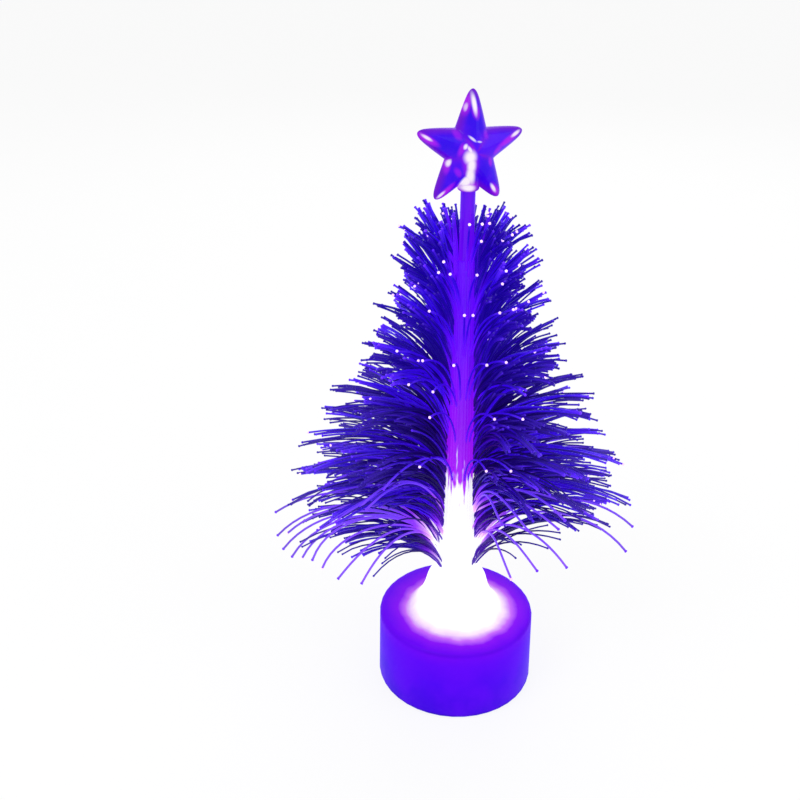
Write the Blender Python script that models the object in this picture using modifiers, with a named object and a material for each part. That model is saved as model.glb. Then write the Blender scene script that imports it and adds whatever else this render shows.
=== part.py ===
"""Miniature fiber optic christmas tree with a star topper on a round battery base.

The tree stands on the rim of its base at z = 0, centred on the Z axis. All sizes are in metres.
"""

import math
import random

import bmesh
import bpy
from mathutils import Matrix, Vector

# Clearances that every fit shares
SEAT_GAP = 0.0002
RUNNING_GAP = 0.0003
BUNDLE_GAP = 0.0001
CUT_OVERRUN = 0.0010
FUSE_DEPTH = 0.0003
AXIS_MERGE = 0.00001

# Base housing with its flared neck. Its side leans in by the draft on its way up.
BASE_RADIUS = 0.0160
BASE_DRAFT = 0.0002
BASE_HEIGHT = 0.0160
BASE_WALL = 0.0014
DECK_THICKNESS = 0.0013
DECK_FILLET = 0.0011
FOOT_FILLET = 0.0009
NECK_WAIST_RADIUS = 0.0059
NECK_WAIST_RISE = 0.0076
NECK_RISE = 0.0110
NECK_WALL = 0.0011
NECK_RIM_WALL = 0.00043
FLARE_BEND_SHARE = 0.28
FLARE_STEPS = 4
BOSS_RADIUS = 0.0017
BOSS_WEB = 0.0010

# Bottom cover and its screws
COVER_RECESS = 0.0004
COVER_THICKNESS = 0.0012
SCREW_PAD_RADIUS = 0.0024
SCREW_PAD_HEIGHT = 0.0020
SCREW_PAD_GAP = 0.0001
SCREW_HEAD_RADIUS = 0.0015
SCREW_HEAD_HEIGHT = 0.0007
SCREW_SHANK_RADIUS = 0.0007
SCREW_LENGTH = 0.0056
SCREW_POINT = 0.0006
SCREW_POINT_SHARE = 0.33
SCREW_EDGE_SHARE = 0.8
SCREW_CROSS_SHARE = 0.6
SCREW_CROSS_WIDTH = 0.0004
SCREW_CROSS_DEPTH = 0.0004

# Button cells and the tube that holds them. The cells fill the room under their spring.
CELL_COUNT = 3
CELL_GAP = 0.0001
CELL_SHOULDER = 0.0015
CELL_CAP_HEIGHT = 0.0005
TUBE_WALL = 0.0008
TUBE_INSET = 0.0001
TUBE_RIB_REACH = 0.0021
TUBE_RIB_THICKNESS = 0.0010
TUBE_RIB_ANGLES = (60.0, 120.0, 235.0, 305.0)

# Twist-off battery door: two lugs hook over the cover
DOOR_MARGIN = 0.0015
LUG_WIDTH = 0.0030
LUG_REACH = 0.0010
LUG_DEPTH = 0.0007
LUG_THICKNESS = 0.0008
UNLOCK_TURN = 30.0
COIN_SLOT_MARGIN = 0.0020
COIN_SLOT_WIDTH = 0.0014
COIN_SLOT_DEPTH = 0.0006

# Contacts
CONTACT_WIDTH = 0.0024
CONTACT_THICKNESS = 0.0003
CONTACT_FOOT = 0.0003
CONTACT_TAB = 0.0020
PLATE_RADIUS = 0.0044
PLATE_THICKNESS = 0.00025
SPRING_WIRE_RADIUS = 0.0002
SPRING_SMALL_RADIUS = 0.0018
SPRING_LARGE_RADIUS = 0.0036
SPRING_HEIGHT = 0.0016
SPRING_TURNS = 2.25
SPRING_POINTS = 10

# Slide switch
SWITCH_LENGTH = 0.0086
SWITCH_WIDTH = 0.0044
SWITCH_HEIGHT = 0.0047
SWITCH_INSET = 0.0039
SWITCH_WALL = 0.0006
KNOB_WIDTH = 0.0015
KNOB_TRAVEL = 0.0020
SLIDER_LENGTH = 0.0032
SLIDER_WIDTH = 0.0024
SLIDER_HEIGHT = 0.0010
KNOB_RECESS = 0.0003
CRADLE_WALL = 0.0008
CRADLE_HEIGHT = 0.0030
PIN_PITCH = 0.0025
PIN_WIDTH = 0.0005
PIN_RISE_SHARE = 0.533
PIN_POCKET = 0.0008
PIN_COUNT = 3

# LED lamp, its leads and its holder
HOLDER_THICKNESS = 0.0011
HOLDER_SEAT = 0.0009
HOLDER_MARGIN = 0.0005
HOLDER_COLLAR_RADIUS = 0.0046
HOLDER_COLLAR_HEIGHT = 0.0036
HOLDER_SHELF_HEIGHT = 0.0010
HOLDER_POCKET_RADIUS = 0.0022
LED_RADIUS = 0.0025
LED_FLANGE_RADIUS = 0.0029
LED_FLANGE_HEIGHT = 0.0010
LED_HEIGHT = 0.0086
LEAD_PITCH = 0.00254
LEAD_RADIUS = 0.00025
LEAD_DROP = 0.0007
LEAD_BEND = 0.0004
ANODE_INSET = 0.0027
WIRE_RADIUS = 0.00045
WIRE_NOTCH = 0.0020
WIRE_ENTRY = 0.00135
POSITIVE_BEND = 0.0008
SWITCHED_BEND = 0.00054

# Fibre bundle round the light rod
ROD_RADIUS = 0.0013
ROD_END_FILLET = 0.0004
BUNDLE_FOOT_RADIUS = 0.0036
BUNDLE_TOP_RADIUS = 0.00185
EXIT_RISE = 0.0020
BUNDLE_LENGTH = 0.0610
SLICE_LAP = 0.0010
TIER_ROW_STEP = 0.0009
FIBRE_RADIUS = 0.00024
FIBRE_ROOT = 0.0009
FAN_REACH = 0.0368
FAN_RISE_SHARE = 0.603
FIBRE_POINTS = 3
FIBRE_WELD_SHARE = 0.02
SHORTEST_SHARE = 0.80

# The fans leave the front free between these directions, in degrees round from the right
FRONT_GAP_LEFT = -126.0
FRONT_GAP_RIGHT = -70.0
FRONT_GAP_SIDES = 3

# Star
STAR_ARMS = 5
STAR_RADIUS = 0.0099
STAR_RISE = 0.0105
STAR_THICKNESS = 0.0060
STAR_EDGE = 0.0018
STAR_TURN = 23.3
STAR_LEAN = 1.9
STAR_NOTCH_SHARE = 0.42
STAR_CROWN_SHARE = 0.62
STAR_CROWN_DEPTH_SHARE = 0.66
SOCKET_RADIUS = 0.0019
SOCKET_DROP = 0.0072
SOCKET_FILLET = 0.0006
SOCKET_DEPTH = 0.0060

# Places across the base, from its wall inwards
DECK_RADIUS = BASE_RADIUS - BASE_DRAFT
CAVITY_RADIUS = DECK_RADIUS - BASE_WALL
BOSS_PLACE = CAVITY_RADIUS - SCREW_PAD_GAP - SCREW_PAD_RADIUS
SWITCH_PLACE = CAVITY_RADIUS - SWITCH_INSET
DOOR_RADIUS = BOSS_PLACE - SCREW_PAD_RADIUS - DOOR_MARGIN - LUG_REACH
COIN_SLOT_LENGTH = 2 * (DOOR_RADIUS - COIN_SLOT_MARGIN)
TUBE_OUTER = DOOR_RADIUS - TUBE_INSET
TUBE_RADIUS = TUBE_OUTER - TUBE_WALL
CELL_RADIUS = TUBE_RADIUS - RUNNING_GAP
CELL_CAP_RADIUS = CELL_RADIUS - CELL_SHOULDER
HOLDER_RADIUS = BOSS_PLACE - BOSS_RADIUS - HOLDER_MARGIN
NECK_FOOT_RADIUS = HOLDER_RADIUS - HOLDER_SEAT + NECK_WALL
ANODE_REACH = HOLDER_RADIUS - ANODE_INSET

# Heights, from the foot to the star
DECK_UNDERSIDE = BASE_HEIGHT - DECK_THICKNESS
COVER_TOP = COVER_RECESS + COVER_THICKNESS
PAD_TOP = COVER_RECESS + SCREW_PAD_HEIGHT
LUG_BOTTOM = COVER_TOP + RUNNING_GAP
LUG_TOP = LUG_BOTTOM + LUG_THICKNESS
TUBE_BOTTOM = LUG_TOP + RUNNING_GAP
HOLDER_TOP = DECK_UNDERSIDE - RUNNING_GAP
HOLDER_BOTTOM = HOLDER_TOP - HOLDER_THICKNESS
PLATE_TOP = HOLDER_BOTTOM - SEAT_GAP
PLATE_BOTTOM = PLATE_TOP - PLATE_THICKNESS
CELL_BOTTOM = COVER_TOP + RUNNING_GAP
CELLS_TOP = PLATE_BOTTOM - SPRING_HEIGHT
CELL_PITCH = (CELLS_TOP - CELL_BOTTOM + CELL_GAP) / CELL_COUNT
CELL_THICKNESS = CELL_PITCH - CELL_GAP
TUBE_TOP = CELLS_TOP - CELL_CAP_HEIGHT
TAB_HEIGHT = TUBE_TOP + CONTACT_TAB / 2
LED_BOTTOM = HOLDER_TOP + HOLDER_SHELF_HEIGHT + SEAT_GAP
LED_TOP = LED_BOTTOM + LED_HEIGHT
BUNDLE_BOTTOM = LED_TOP + SEAT_GAP
NECK_RIM = BASE_HEIGHT + NECK_RISE
SWITCH_BOTTOM = COVER_TOP + SEAT_GAP
SWITCH_TOP = SWITCH_BOTTOM + SWITCH_HEIGHT
PIN_TOP = SWITCH_TOP + (TAB_HEIGHT - SWITCH_TOP) * PIN_RISE_SHARE
LOWEST_EXIT = NECK_RIM + EXIT_RISE
HIGHEST_EXIT = LOWEST_EXIT + BUNDLE_LENGTH
FAN_RISE = BUNDLE_LENGTH * FAN_RISE_SHARE
STAR_CENTRE = HIGHEST_EXIT + STAR_RISE + STAR_RADIUS
SOCKET_BOTTOM = STAR_CENTRE - SOCKET_DROP
ROD_TOP = SOCKET_BOTTOM + SOCKET_DEPTH - SEAT_GAP

# Each tier: fibres in a row, then three rows from the lowest to the highest. A row gives its tip's
# reach as a share of the fan's reach, its rise over the exit as a share of the fan's rise, and the
# angles in degrees at which its fibres leave the bundle and end.
FIBRE_TIER_SHARES = (
    (16, ((0.70, 0.08, 66, -64), (0.86, 0.17, 70, -46), (0.97, 0.27, 75, -22))),
    (16, ((0.80, 0.02, 64, -44), (0.94, 0.07, 71, -28), (0.95, 0.17, 77, -10))),
    (14, ((0.76, 0.02, 66, -30), (0.87, 0.13, 72, -14), (0.81, 0.27, 78, 6))),
    (14, ((0.60, 0.13, 66, -20), (0.71, 0.20, 72, -4), (0.65, 0.31, 78, 20))),
    (12, ((0.49, 0.15, 66, -8), (0.56, 0.26, 73, 12), (0.51, 0.38, 79, 36))),
    (10, ((0.38, 0.19, 67, 6), (0.45, 0.27, 74, 24), (0.41, 0.36, 80, 46))),
    (10, ((0.32, 0.17, 68, 20), (0.36, 0.28, 75, 40), (0.31, 0.36, 80, 56))),
    (8, ((0.32, 0.18, 68, 32), (0.29, 0.25, 75, 50), (0.21, 0.29, 80, 66))),
)
# Exit of each tier as a share of the way from the lowest exit to the highest
TIER_EXIT_SHARES = (0.0, 0.19, 0.305, 0.44, 0.587, 0.73, 0.856, 1.0)
# How far a fibre's curve follows its first and its last direction, as a share of its span
LEAVING_SHARE = 0.40
ENDING_SHARE = 0.34
# Turn from one tier to the next, as a share of the angle between two fibres
TIER_TURN_SHARE = 0.618
# Least loss of length behind the tree, as a share of the greatest
LEAST_LOSS_SHARE = 0.5

# One side of a star's arm to the other, along it and aside from its middle line, as shares of the radius
STAR_ARM_SHARES = ((0.66, -0.19), (0.91, -0.10), (1.05, 0.0), (0.91, 0.10), (0.66, 0.19))

SCREW_SIDES = (1, -1)
ROUND_STEPS = 40
CELL_STEPS = 30
SMALL_STEPS = 20
LEAD_STEPS = 12


def clear_scene():
    for obj in list(bpy.data.objects):
        bpy.data.objects.remove(obj, do_unlink=True)


def make_collection(name):
    collection = bpy.data.collections.new(name)
    bpy.context.scene.collection.children.link(collection)
    return collection


def make_material(name, colour, roughness, metallic=0.0, transmission=0.0):
    material = bpy.data.materials.new(name)
    material.use_nodes = True
    shader = material.node_tree.nodes["Principled BSDF"]
    shader.inputs["Base Color"].default_value = (*colour, 1.0)
    shader.inputs["Roughness"].default_value = roughness
    shader.inputs["Metallic"].default_value = metallic
    shader.inputs["Transmission Weight"].default_value = transmission
    return material


def place(obj, collection, material=None):
    """Puts a new object in its collection, with its material."""
    collection.objects.link(obj)
    if material:
        obj.data.materials.append(material)
    return obj


def mesh_object(name, bm):
    bmesh.ops.recalc_face_normals(bm, faces=bm.faces)
    mesh = bpy.data.meshes.new(name)
    bm.to_mesh(mesh)
    bm.free()
    return bpy.data.objects.new(name, mesh)


def box(name, low, high):
    bm = bmesh.new()
    size = Vector(high) - Vector(low)
    middle = (Vector(high) + Vector(low)) / 2
    matrix = Matrix.Translation(middle) @ Matrix.Diagonal((*size, 1.0))
    bmesh.ops.create_cube(bm, size=1.0, matrix=matrix)
    return mesh_object(name, bm)


def cylinder(name, radius, bottom, top, centre=(0.0, 0.0), steps=SMALL_STEPS, top_radius=None):
    bm = bmesh.new()
    matrix = Matrix.Translation((*centre, (bottom + top) / 2))
    bmesh.ops.create_cone(
        bm, cap_ends=True, segments=steps, radius1=radius,
        radius2=radius if top_radius is None else top_radius,
        depth=top - bottom, matrix=matrix,
    )
    return mesh_object(name, bm)


def turned(name, profile, steps=ROUND_STEPS):
    """A solid of revolution round Z. The profile is (radius, height), from the top down its outer side."""
    mesh = bpy.data.meshes.new(name)
    closed = profile[0][0] > 0.0
    count = len(profile)
    edges = [(i, i + 1) for i in range(count - 1)]
    if closed:
        edges.append((count - 1, 0))
    mesh.from_pydata([(radius, 0.0, height) for radius, height in profile], edges, [])
    obj = bpy.data.objects.new(name, mesh)
    screw = obj.modifiers.new("Turn", "SCREW")
    screw.steps = steps
    screw.render_steps = steps
    screw.use_merge_vertices = True
    screw.merge_threshold = AXIS_MERGE
    screw.use_smooth_shade = True
    return obj


def fillet(centre, radius, start, end, steps=3):
    """Points of an arc in a profile, from one angle in degrees to another."""
    points = []
    for step in range(steps + 1):
        angle = math.radians(start + (end - start) * step / steps)
        points.append((centre[0] + radius * math.cos(angle), centre[1] + radius * math.sin(angle)))
    return points


def join(obj, other, cutters):
    """Unions another solid onto this one. The other stays as a hidden helper."""
    boolean(obj, other, cutters, "UNION")


def cut(obj, other, cutters):
    boolean(obj, other, cutters, "DIFFERENCE")


def boolean(obj, other, cutters, operation):
    cutters.objects.link(other)
    other.hide_render = True
    other.display_type = "WIRE"
    modifier = obj.modifiers.new(other.name, "BOOLEAN")
    modifier.operation = operation
    modifier.solver = "EXACT"
    modifier.object = other


def tube_curve(name, points, radius, smooth=2):
    """A round wire along the points."""
    curve = bpy.data.curves.new(name, "CURVE")
    curve.dimensions = "3D"
    curve.bevel_depth = radius
    curve.bevel_resolution = smooth
    curve.use_fill_caps = True
    spline = curve.splines.new("POLY")
    spline.points.add(len(points) - 1)
    for point, place_at in zip(spline.points, points):
        point.co = (*place_at, 1.0)
    return bpy.data.objects.new(name, curve)


def rounded_route(corners, bend, steps=4):
    """A route through the corners, with each inner corner rounded to a quadratic bend."""
    corners = [Vector(corner) for corner in corners]
    route = [corners[0]]
    for before, corner, after in zip(corners, corners[1:], corners[2:]):
        enter = corner + (before - corner).normalized() * bend
        leave = corner + (after - corner).normalized() * bend
        for step in range(steps + 1):
            t = step / steps
            route.append(enter * (1 - t) ** 2 + corner * 2 * t * (1 - t) + leave * t**2)
    route.append(corners[-1])
    return route


def turn_of(obj, degrees):
    obj.rotation_euler = (0.0, 0.0, math.radians(degrees))
    return obj


def neck_flare(inset, foot_height):
    """The neck's flare from its waist down to its foot, as points (radius, height)."""
    waist = Vector((NECK_WAIST_RADIUS, BASE_HEIGHT + NECK_WAIST_RISE - inset / 2))
    foot = Vector((NECK_FOOT_RADIUS, foot_height))
    bend = Vector((
        waist.x + (foot.x - waist.x) * FLARE_BEND_SHARE,
        foot.y + (waist.y - foot.y) * FLARE_BEND_SHARE,
    ))
    points = []
    for step in range(FLARE_STEPS + 1):
        t = step / FLARE_STEPS
        point = waist * (1 - t) ** 2 + bend * 2 * t * (1 - t) + foot * t**2
        points.append((point.x - inset, point.y))
    return points


def make_base_shell(parts, cutters, material):
    foot_inner = BASE_RADIUS - BASE_WALL
    neck_bore = corner_radius(0, BUNDLE_FOOT_RADIUS) + SEAT_GAP
    deck_arc = fillet((DECK_RADIUS - DECK_FILLET, BASE_HEIGHT - DECK_FILLET), DECK_FILLET, 90, 0)
    foot_arc = fillet((BASE_RADIUS - FOOT_FILLET, FOOT_FILLET), FOOT_FILLET, 0, -90)
    neck_rim = [(neck_bore, BUNDLE_BOTTOM), (neck_bore, NECK_RIM), (neck_bore + NECK_RIM_WALL, NECK_RIM)]
    cavity = [(foot_inner, 0.0), (foot_inner, COVER_RECESS), (CAVITY_RADIUS, DECK_UNDERSIDE)]
    outer = neck_flare(0.0, BASE_HEIGHT) + deck_arc + foot_arc
    inner = cavity + neck_flare(NECK_WALL, DECK_UNDERSIDE)[::-1]
    shell = place(turned("base_shell", neck_rim[-1:] + outer + inner + neck_rim[:-1]), parts, material)
    boss_bottom = PAD_TOP + SEAT_GAP
    for side in SCREW_SIDES:
        place_at = (side * BOSS_PLACE, 0.0)
        label = "right" if side > 0 else "left"
        boss = cylinder(f"boss_{label}", BOSS_RADIUS, boss_bottom, DECK_UNDERSIDE + FUSE_DEPTH, place_at)
        web_ends = sorted((side * BOSS_PLACE, side * (CAVITY_RADIUS + FUSE_DEPTH)))
        web = box(
            f"boss_web_{label}",
            (web_ends[0], -BOSS_WEB / 2, boss_bottom + SEAT_GAP),
            (web_ends[1], BOSS_WEB / 2, DECK_UNDERSIDE + FUSE_DEPTH / 2),
        )
        pilot = cylinder(
            f"boss_pilot_{label}", SCREW_SHANK_RADIUS + SEAT_GAP,
            boss_bottom - CUT_OVERRUN, COVER_RECESS + SCREW_LENGTH + RUNNING_GAP, place_at,
        )
        join(shell, boss, cutters)
        join(shell, web, cutters)
        cut(shell, pilot, cutters)
    return shell


def make_bottom_cover(parts, cutters, material):
    cover = cylinder("bottom_cover", CAVITY_RADIUS - SEAT_GAP, COVER_RECESS, COVER_TOP, steps=ROUND_STEPS)
    place(cover, parts, material)
    tube_profile = [
        (TUBE_OUTER, TUBE_TOP), (TUBE_OUTER, TUBE_BOTTOM),
        (TUBE_RADIUS, TUBE_BOTTOM), (TUBE_RADIUS, TUBE_TOP),
    ]
    join(cover, turned("cell_tube", tube_profile), cutters)
    rib_start = TUBE_RADIUS + TUBE_WALL / 2
    for number, angle in enumerate(TUBE_RIB_ANGLES, 1):
        rib = box(
            f"tube_rib_{number}",
            (rib_start, -TUBE_RIB_THICKNESS / 2, COVER_TOP - FUSE_DEPTH),
            (TUBE_OUTER + TUBE_RIB_REACH, TUBE_RIB_THICKNESS / 2, TUBE_TOP - FUSE_DEPTH),
        )
        join(cover, turn_of(rib, angle), cutters)
    add_switch_cradle(cover, cutters)
    add_screw_pads(cover, cutters)
    add_door_opening(cover, cutters)
    slot_top = TUBE_TOP + CUT_OVERRUN
    slot = box(
        "contact_slot",
        (-CONTACT_WIDTH / 2 - SEAT_GAP, -TUBE_OUTER - CUT_OVERRUN, TUBE_BOTTOM - CUT_OVERRUN),
        (CONTACT_WIDTH / 2 + SEAT_GAP, -TUBE_RADIUS / 2, slot_top),
    )
    cut(cover, slot, cutters)
    return cover


def add_switch_cradle(cover, cutters):
    """Two end walls hold the switch, and a slot in the cover lets its knob through."""
    inner = SWITCH_LENGTH / 2 + SEAT_GAP
    for side in SCREW_SIDES:
        ends = sorted((side * inner, side * (inner + CRADLE_WALL)))
        wall = box(
            f"cradle_wall_{'right' if side > 0 else 'left'}",
            (ends[0], -SWITCH_PLACE - SWITCH_WIDTH / 3, COVER_TOP - FUSE_DEPTH),
            (ends[1], -SWITCH_PLACE + SWITCH_WIDTH / 2, COVER_TOP + CRADLE_HEIGHT),
        )
        join(cover, wall, cutters)
    cut(cover, knob_slot("cover_knob_slot", COVER_RECESS - CUT_OVERRUN, COVER_TOP + CUT_OVERRUN / 4), cutters)


def knob_slot(name, bottom, top):
    """The room that the knob's stem sweeps, with its running gap."""
    half_length = (KNOB_WIDTH + KNOB_TRAVEL) / 2 + RUNNING_GAP
    half_width = KNOB_WIDTH / 2 + RUNNING_GAP
    return box(
        name,
        (-half_length, -SWITCH_PLACE - half_width, bottom),
        (half_length, -SWITCH_PLACE + half_width, top),
    )


def add_screw_pads(cover, cutters):
    for side in SCREW_SIDES:
        place_at = (side * BOSS_PLACE, 0.0)
        label = "right" if side > 0 else "left"
        head_top = COVER_RECESS + SCREW_HEAD_HEIGHT
        pad = cylinder(f"screw_pad_{label}", SCREW_PAD_RADIUS, COVER_RECESS + FUSE_DEPTH, PAD_TOP, place_at)
        hole = cylinder(
            f"screw_hole_{label}", SCREW_SHANK_RADIUS + SEAT_GAP,
            COVER_RECESS, PAD_TOP + CUT_OVERRUN, place_at,
        )
        head_seat = cylinder(
            f"head_seat_{label}", SCREW_HEAD_RADIUS + SEAT_GAP,
            COVER_RECESS - CUT_OVERRUN, head_top + SEAT_GAP, place_at,
        )
        join(cover, pad, cutters)
        cut(cover, hole, cutters)
        cut(cover, head_seat, cutters)


def add_door_opening(cover, cutters):
    """A round opening for the door, with two notches that its lugs drop through when it is unlocked."""
    opening = cylinder(
        "door_opening", DOOR_RADIUS + RUNNING_GAP, COVER_RECESS - CUT_OVERRUN, LUG_BOTTOM, steps=ROUND_STEPS
    )
    cut(cover, opening, cutters)
    notch_end = DOOR_RADIUS + LUG_REACH + RUNNING_GAP
    notch = box(
        "lug_notches",
        (-notch_end, -LUG_WIDTH / 2 - RUNNING_GAP, COVER_RECESS - CUT_OVERRUN / 2),
        (notch_end, LUG_WIDTH / 2 + RUNNING_GAP, COVER_TOP + CUT_OVERRUN / 8),
    )
    cut(cover, turn_of(notch, -UNLOCK_TURN), cutters)


def make_battery_door(parts, cutters, material):
    door = cylinder("battery_door", DOOR_RADIUS, COVER_RECESS, COVER_TOP, steps=ROUND_STEPS)
    place(door, parts, material)
    for side in SCREW_SIDES:
        label = "right" if side > 0 else "left"
        post_ends = sorted((side * (DOOR_RADIUS - LUG_DEPTH), side * DOOR_RADIUS))
        lug_ends = sorted((side * (DOOR_RADIUS - LUG_DEPTH), side * (DOOR_RADIUS + LUG_REACH)))
        post = box(
            f"lug_post_{label}",
            (post_ends[0], -LUG_WIDTH / 3, COVER_TOP - FUSE_DEPTH),
            (post_ends[1], LUG_WIDTH / 3, LUG_TOP),
        )
        lug = box(
            f"lug_{label}", (lug_ends[0], -LUG_WIDTH / 2, LUG_BOTTOM), (lug_ends[1], LUG_WIDTH / 2, LUG_TOP)
        )
        join(door, post, cutters)
        join(door, lug, cutters)
    coin_slot = box(
        "coin_slot",
        (-COIN_SLOT_LENGTH / 2, -COIN_SLOT_WIDTH / 2, COVER_RECESS - CUT_OVERRUN),
        (COIN_SLOT_LENGTH / 2, COIN_SLOT_WIDTH / 2, COVER_RECESS + COIN_SLOT_DEPTH),
    )
    cut(door, coin_slot, cutters)
    return door


def make_screw(number, side, parts, cutters, material):
    head_bottom = COVER_RECESS
    neck = head_bottom + SCREW_HEAD_HEIGHT
    tip = head_bottom + SCREW_LENGTH
    profile = [
        (0.0, tip), (SCREW_SHANK_RADIUS * SCREW_POINT_SHARE, tip), (SCREW_SHANK_RADIUS, tip - SCREW_POINT),
        (SCREW_SHANK_RADIUS, neck), (SCREW_HEAD_RADIUS, neck),
        (SCREW_HEAD_RADIUS, head_bottom + SCREW_HEAD_HEIGHT / 3),
        (SCREW_HEAD_RADIUS * SCREW_EDGE_SHARE, head_bottom), (0.0, head_bottom),
    ]
    screw = place(turned(f"cover_screw_{number}", profile, SMALL_STEPS), parts, material)
    screw.location = (side * BOSS_PLACE, 0.0, 0.0)
    reach = SCREW_HEAD_RADIUS * SCREW_CROSS_SHARE
    for turn, name in enumerate(("along", "across")):
        bar = box(
            f"screw_{number}_cross_{name}",
            (-reach, -SCREW_CROSS_WIDTH / 2, head_bottom - CUT_OVERRUN),
            (reach, SCREW_CROSS_WIDTH / 2, head_bottom + SCREW_CROSS_DEPTH),
        )
        bar.location = screw.location
        cut(screw, turn_of(bar, 90.0 * turn), cutters)
    return screw


def make_cell(index, parts, material):
    """A button cell: its can, and the smaller negative cap on top."""
    bottom = CELL_BOTTOM + index * CELL_PITCH
    top = bottom + CELL_THICKNESS
    rim = top - CELL_CAP_HEIGHT
    edge = CELL_CAP_HEIGHT / 2
    profile = [
        (0.0, top), (CELL_CAP_RADIUS, top), (CELL_CAP_RADIUS + edge / 2, rim), (CELL_RADIUS - edge, rim),
        (CELL_RADIUS, rim - edge), (CELL_RADIUS, bottom + edge), (CELL_RADIUS - edge, bottom), (0.0, bottom),
    ]
    return place(turned(f"cell_{index + 1}", profile, CELL_STEPS), parts, material)


def make_positive_contact(parts, material):
    """A strip that runs up beside the cells and bends outwards to its solder tab."""
    inner = -CELL_RADIUS - SEAT_GAP
    path = [(inner, CELL_BOTTOM + CONTACT_FOOT), (inner, TAB_HEIGHT), (inner - CONTACT_TAB, TAB_HEIGHT)]
    bm = bmesh.new()
    rows = []
    for y, z in path:
        rows.append([bm.verts.new((x, y, z)) for x in (-CONTACT_WIDTH / 2, CONTACT_WIDTH / 2)])
    for low, high in zip(rows, rows[1:]):
        bm.faces.new((low[0], low[1], high[1], high[0]))
    contact = place(mesh_object("positive_contact", bm), parts, material)
    solid = contact.modifiers.new("Thickness", "SOLIDIFY")
    solid.thickness = CONTACT_THICKNESS
    solid.offset = 0.0
    solid.use_even_offset = True
    contact.location = (0.0, -CONTACT_THICKNESS / 2, 0.0)
    return contact


def make_negative_plate(parts, material):
    plate = cylinder("negative_plate", PLATE_RADIUS, PLATE_BOTTOM, PLATE_TOP, steps=ROUND_STEPS)
    return place(plate, parts, material)


def make_negative_spring(parts, material):
    """A conical coil between the top cell and the plate."""
    bottom = CELLS_TOP + SEAT_GAP + SPRING_WIRE_RADIUS
    top = PLATE_BOTTOM - SEAT_GAP - SPRING_WIRE_RADIUS
    count = round(SPRING_TURNS * SPRING_POINTS)
    points = []
    for index in range(count + 1):
        share = index / count
        angle = math.tau * SPRING_TURNS * share
        radius = SPRING_SMALL_RADIUS + (SPRING_LARGE_RADIUS - SPRING_SMALL_RADIUS) * share
        points.append((radius * math.cos(angle), radius * math.sin(angle), bottom + (top - bottom) * share))
    spring = tube_curve("negative_spring", points, SPRING_WIRE_RADIUS, 1)
    return place(spring, parts, material)


def make_switch_body(parts, cutters, material):
    low = (-SWITCH_LENGTH / 2, -SWITCH_PLACE - SWITCH_WIDTH / 2, SWITCH_BOTTOM)
    high = (SWITCH_LENGTH / 2, -SWITCH_PLACE + SWITCH_WIDTH / 2, SWITCH_TOP)
    body = place(box("switch_body", low, high), parts, material)
    floor = SWITCH_BOTTOM + SWITCH_WALL
    cut(body, knob_slot("switch_knob_slot", SWITCH_BOTTOM - CUT_OVERRUN, floor + FUSE_DEPTH), cutters)
    half_length = (SLIDER_LENGTH + KNOB_TRAVEL) / 2 + RUNNING_GAP
    half_width = SLIDER_WIDTH / 2 + RUNNING_GAP
    chamber = box(
        "slider_chamber",
        (-half_length, -SWITCH_PLACE - half_width, floor),
        (half_length, -SWITCH_PLACE + half_width, floor + SLIDER_HEIGHT + 2 * RUNNING_GAP),
    )
    cut(body, chamber, cutters)
    for index in range(PIN_COUNT):
        x = (index - (PIN_COUNT - 1) / 2) * PIN_PITCH
        half = PIN_WIDTH / 2 + SEAT_GAP
        pocket = box(
            f"pin_pocket_{index + 1}",
            (x - half, -SWITCH_PLACE - half, SWITCH_TOP - PIN_POCKET),
            (x + half, -SWITCH_PLACE + half, SWITCH_TOP + CUT_OVERRUN),
        )
        cut(body, pocket, cutters)
    return body


def make_switch_pin(index, parts, material):
    x = (index - (PIN_COUNT - 1) / 2) * PIN_PITCH
    low = (x - PIN_WIDTH / 2, -SWITCH_PLACE - PIN_WIDTH / 2, SWITCH_TOP - PIN_POCKET + SEAT_GAP)
    high = (x + PIN_WIDTH / 2, -SWITCH_PLACE + PIN_WIDTH / 2, PIN_TOP)
    return place(box(f"switch_pin_{index + 1}", low, high), parts, material)


def make_switch_knob(parts, cutters, material):
    """The knob stands at the lit end of its travel. Its origin is on its sliding line."""
    slider_bottom = SWITCH_BOTTOM + SWITCH_WALL + RUNNING_GAP
    knob = box(
        "switch_knob",
        (-KNOB_WIDTH / 2, -KNOB_WIDTH / 2, KNOB_RECESS),
        (KNOB_WIDTH / 2, KNOB_WIDTH / 2, slider_bottom + FUSE_DEPTH),
    )
    slider = box(
        "knob_slider",
        (-SLIDER_LENGTH / 2, -SLIDER_WIDTH / 2, slider_bottom),
        (SLIDER_LENGTH / 2, SLIDER_WIDTH / 2, slider_bottom + SLIDER_HEIGHT),
    )
    place(knob, parts, material)
    knob.location = (KNOB_TRAVEL / 2, -SWITCH_PLACE, 0.0)
    slider.location = knob.location
    join(knob, slider, cutters)
    return knob


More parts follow.
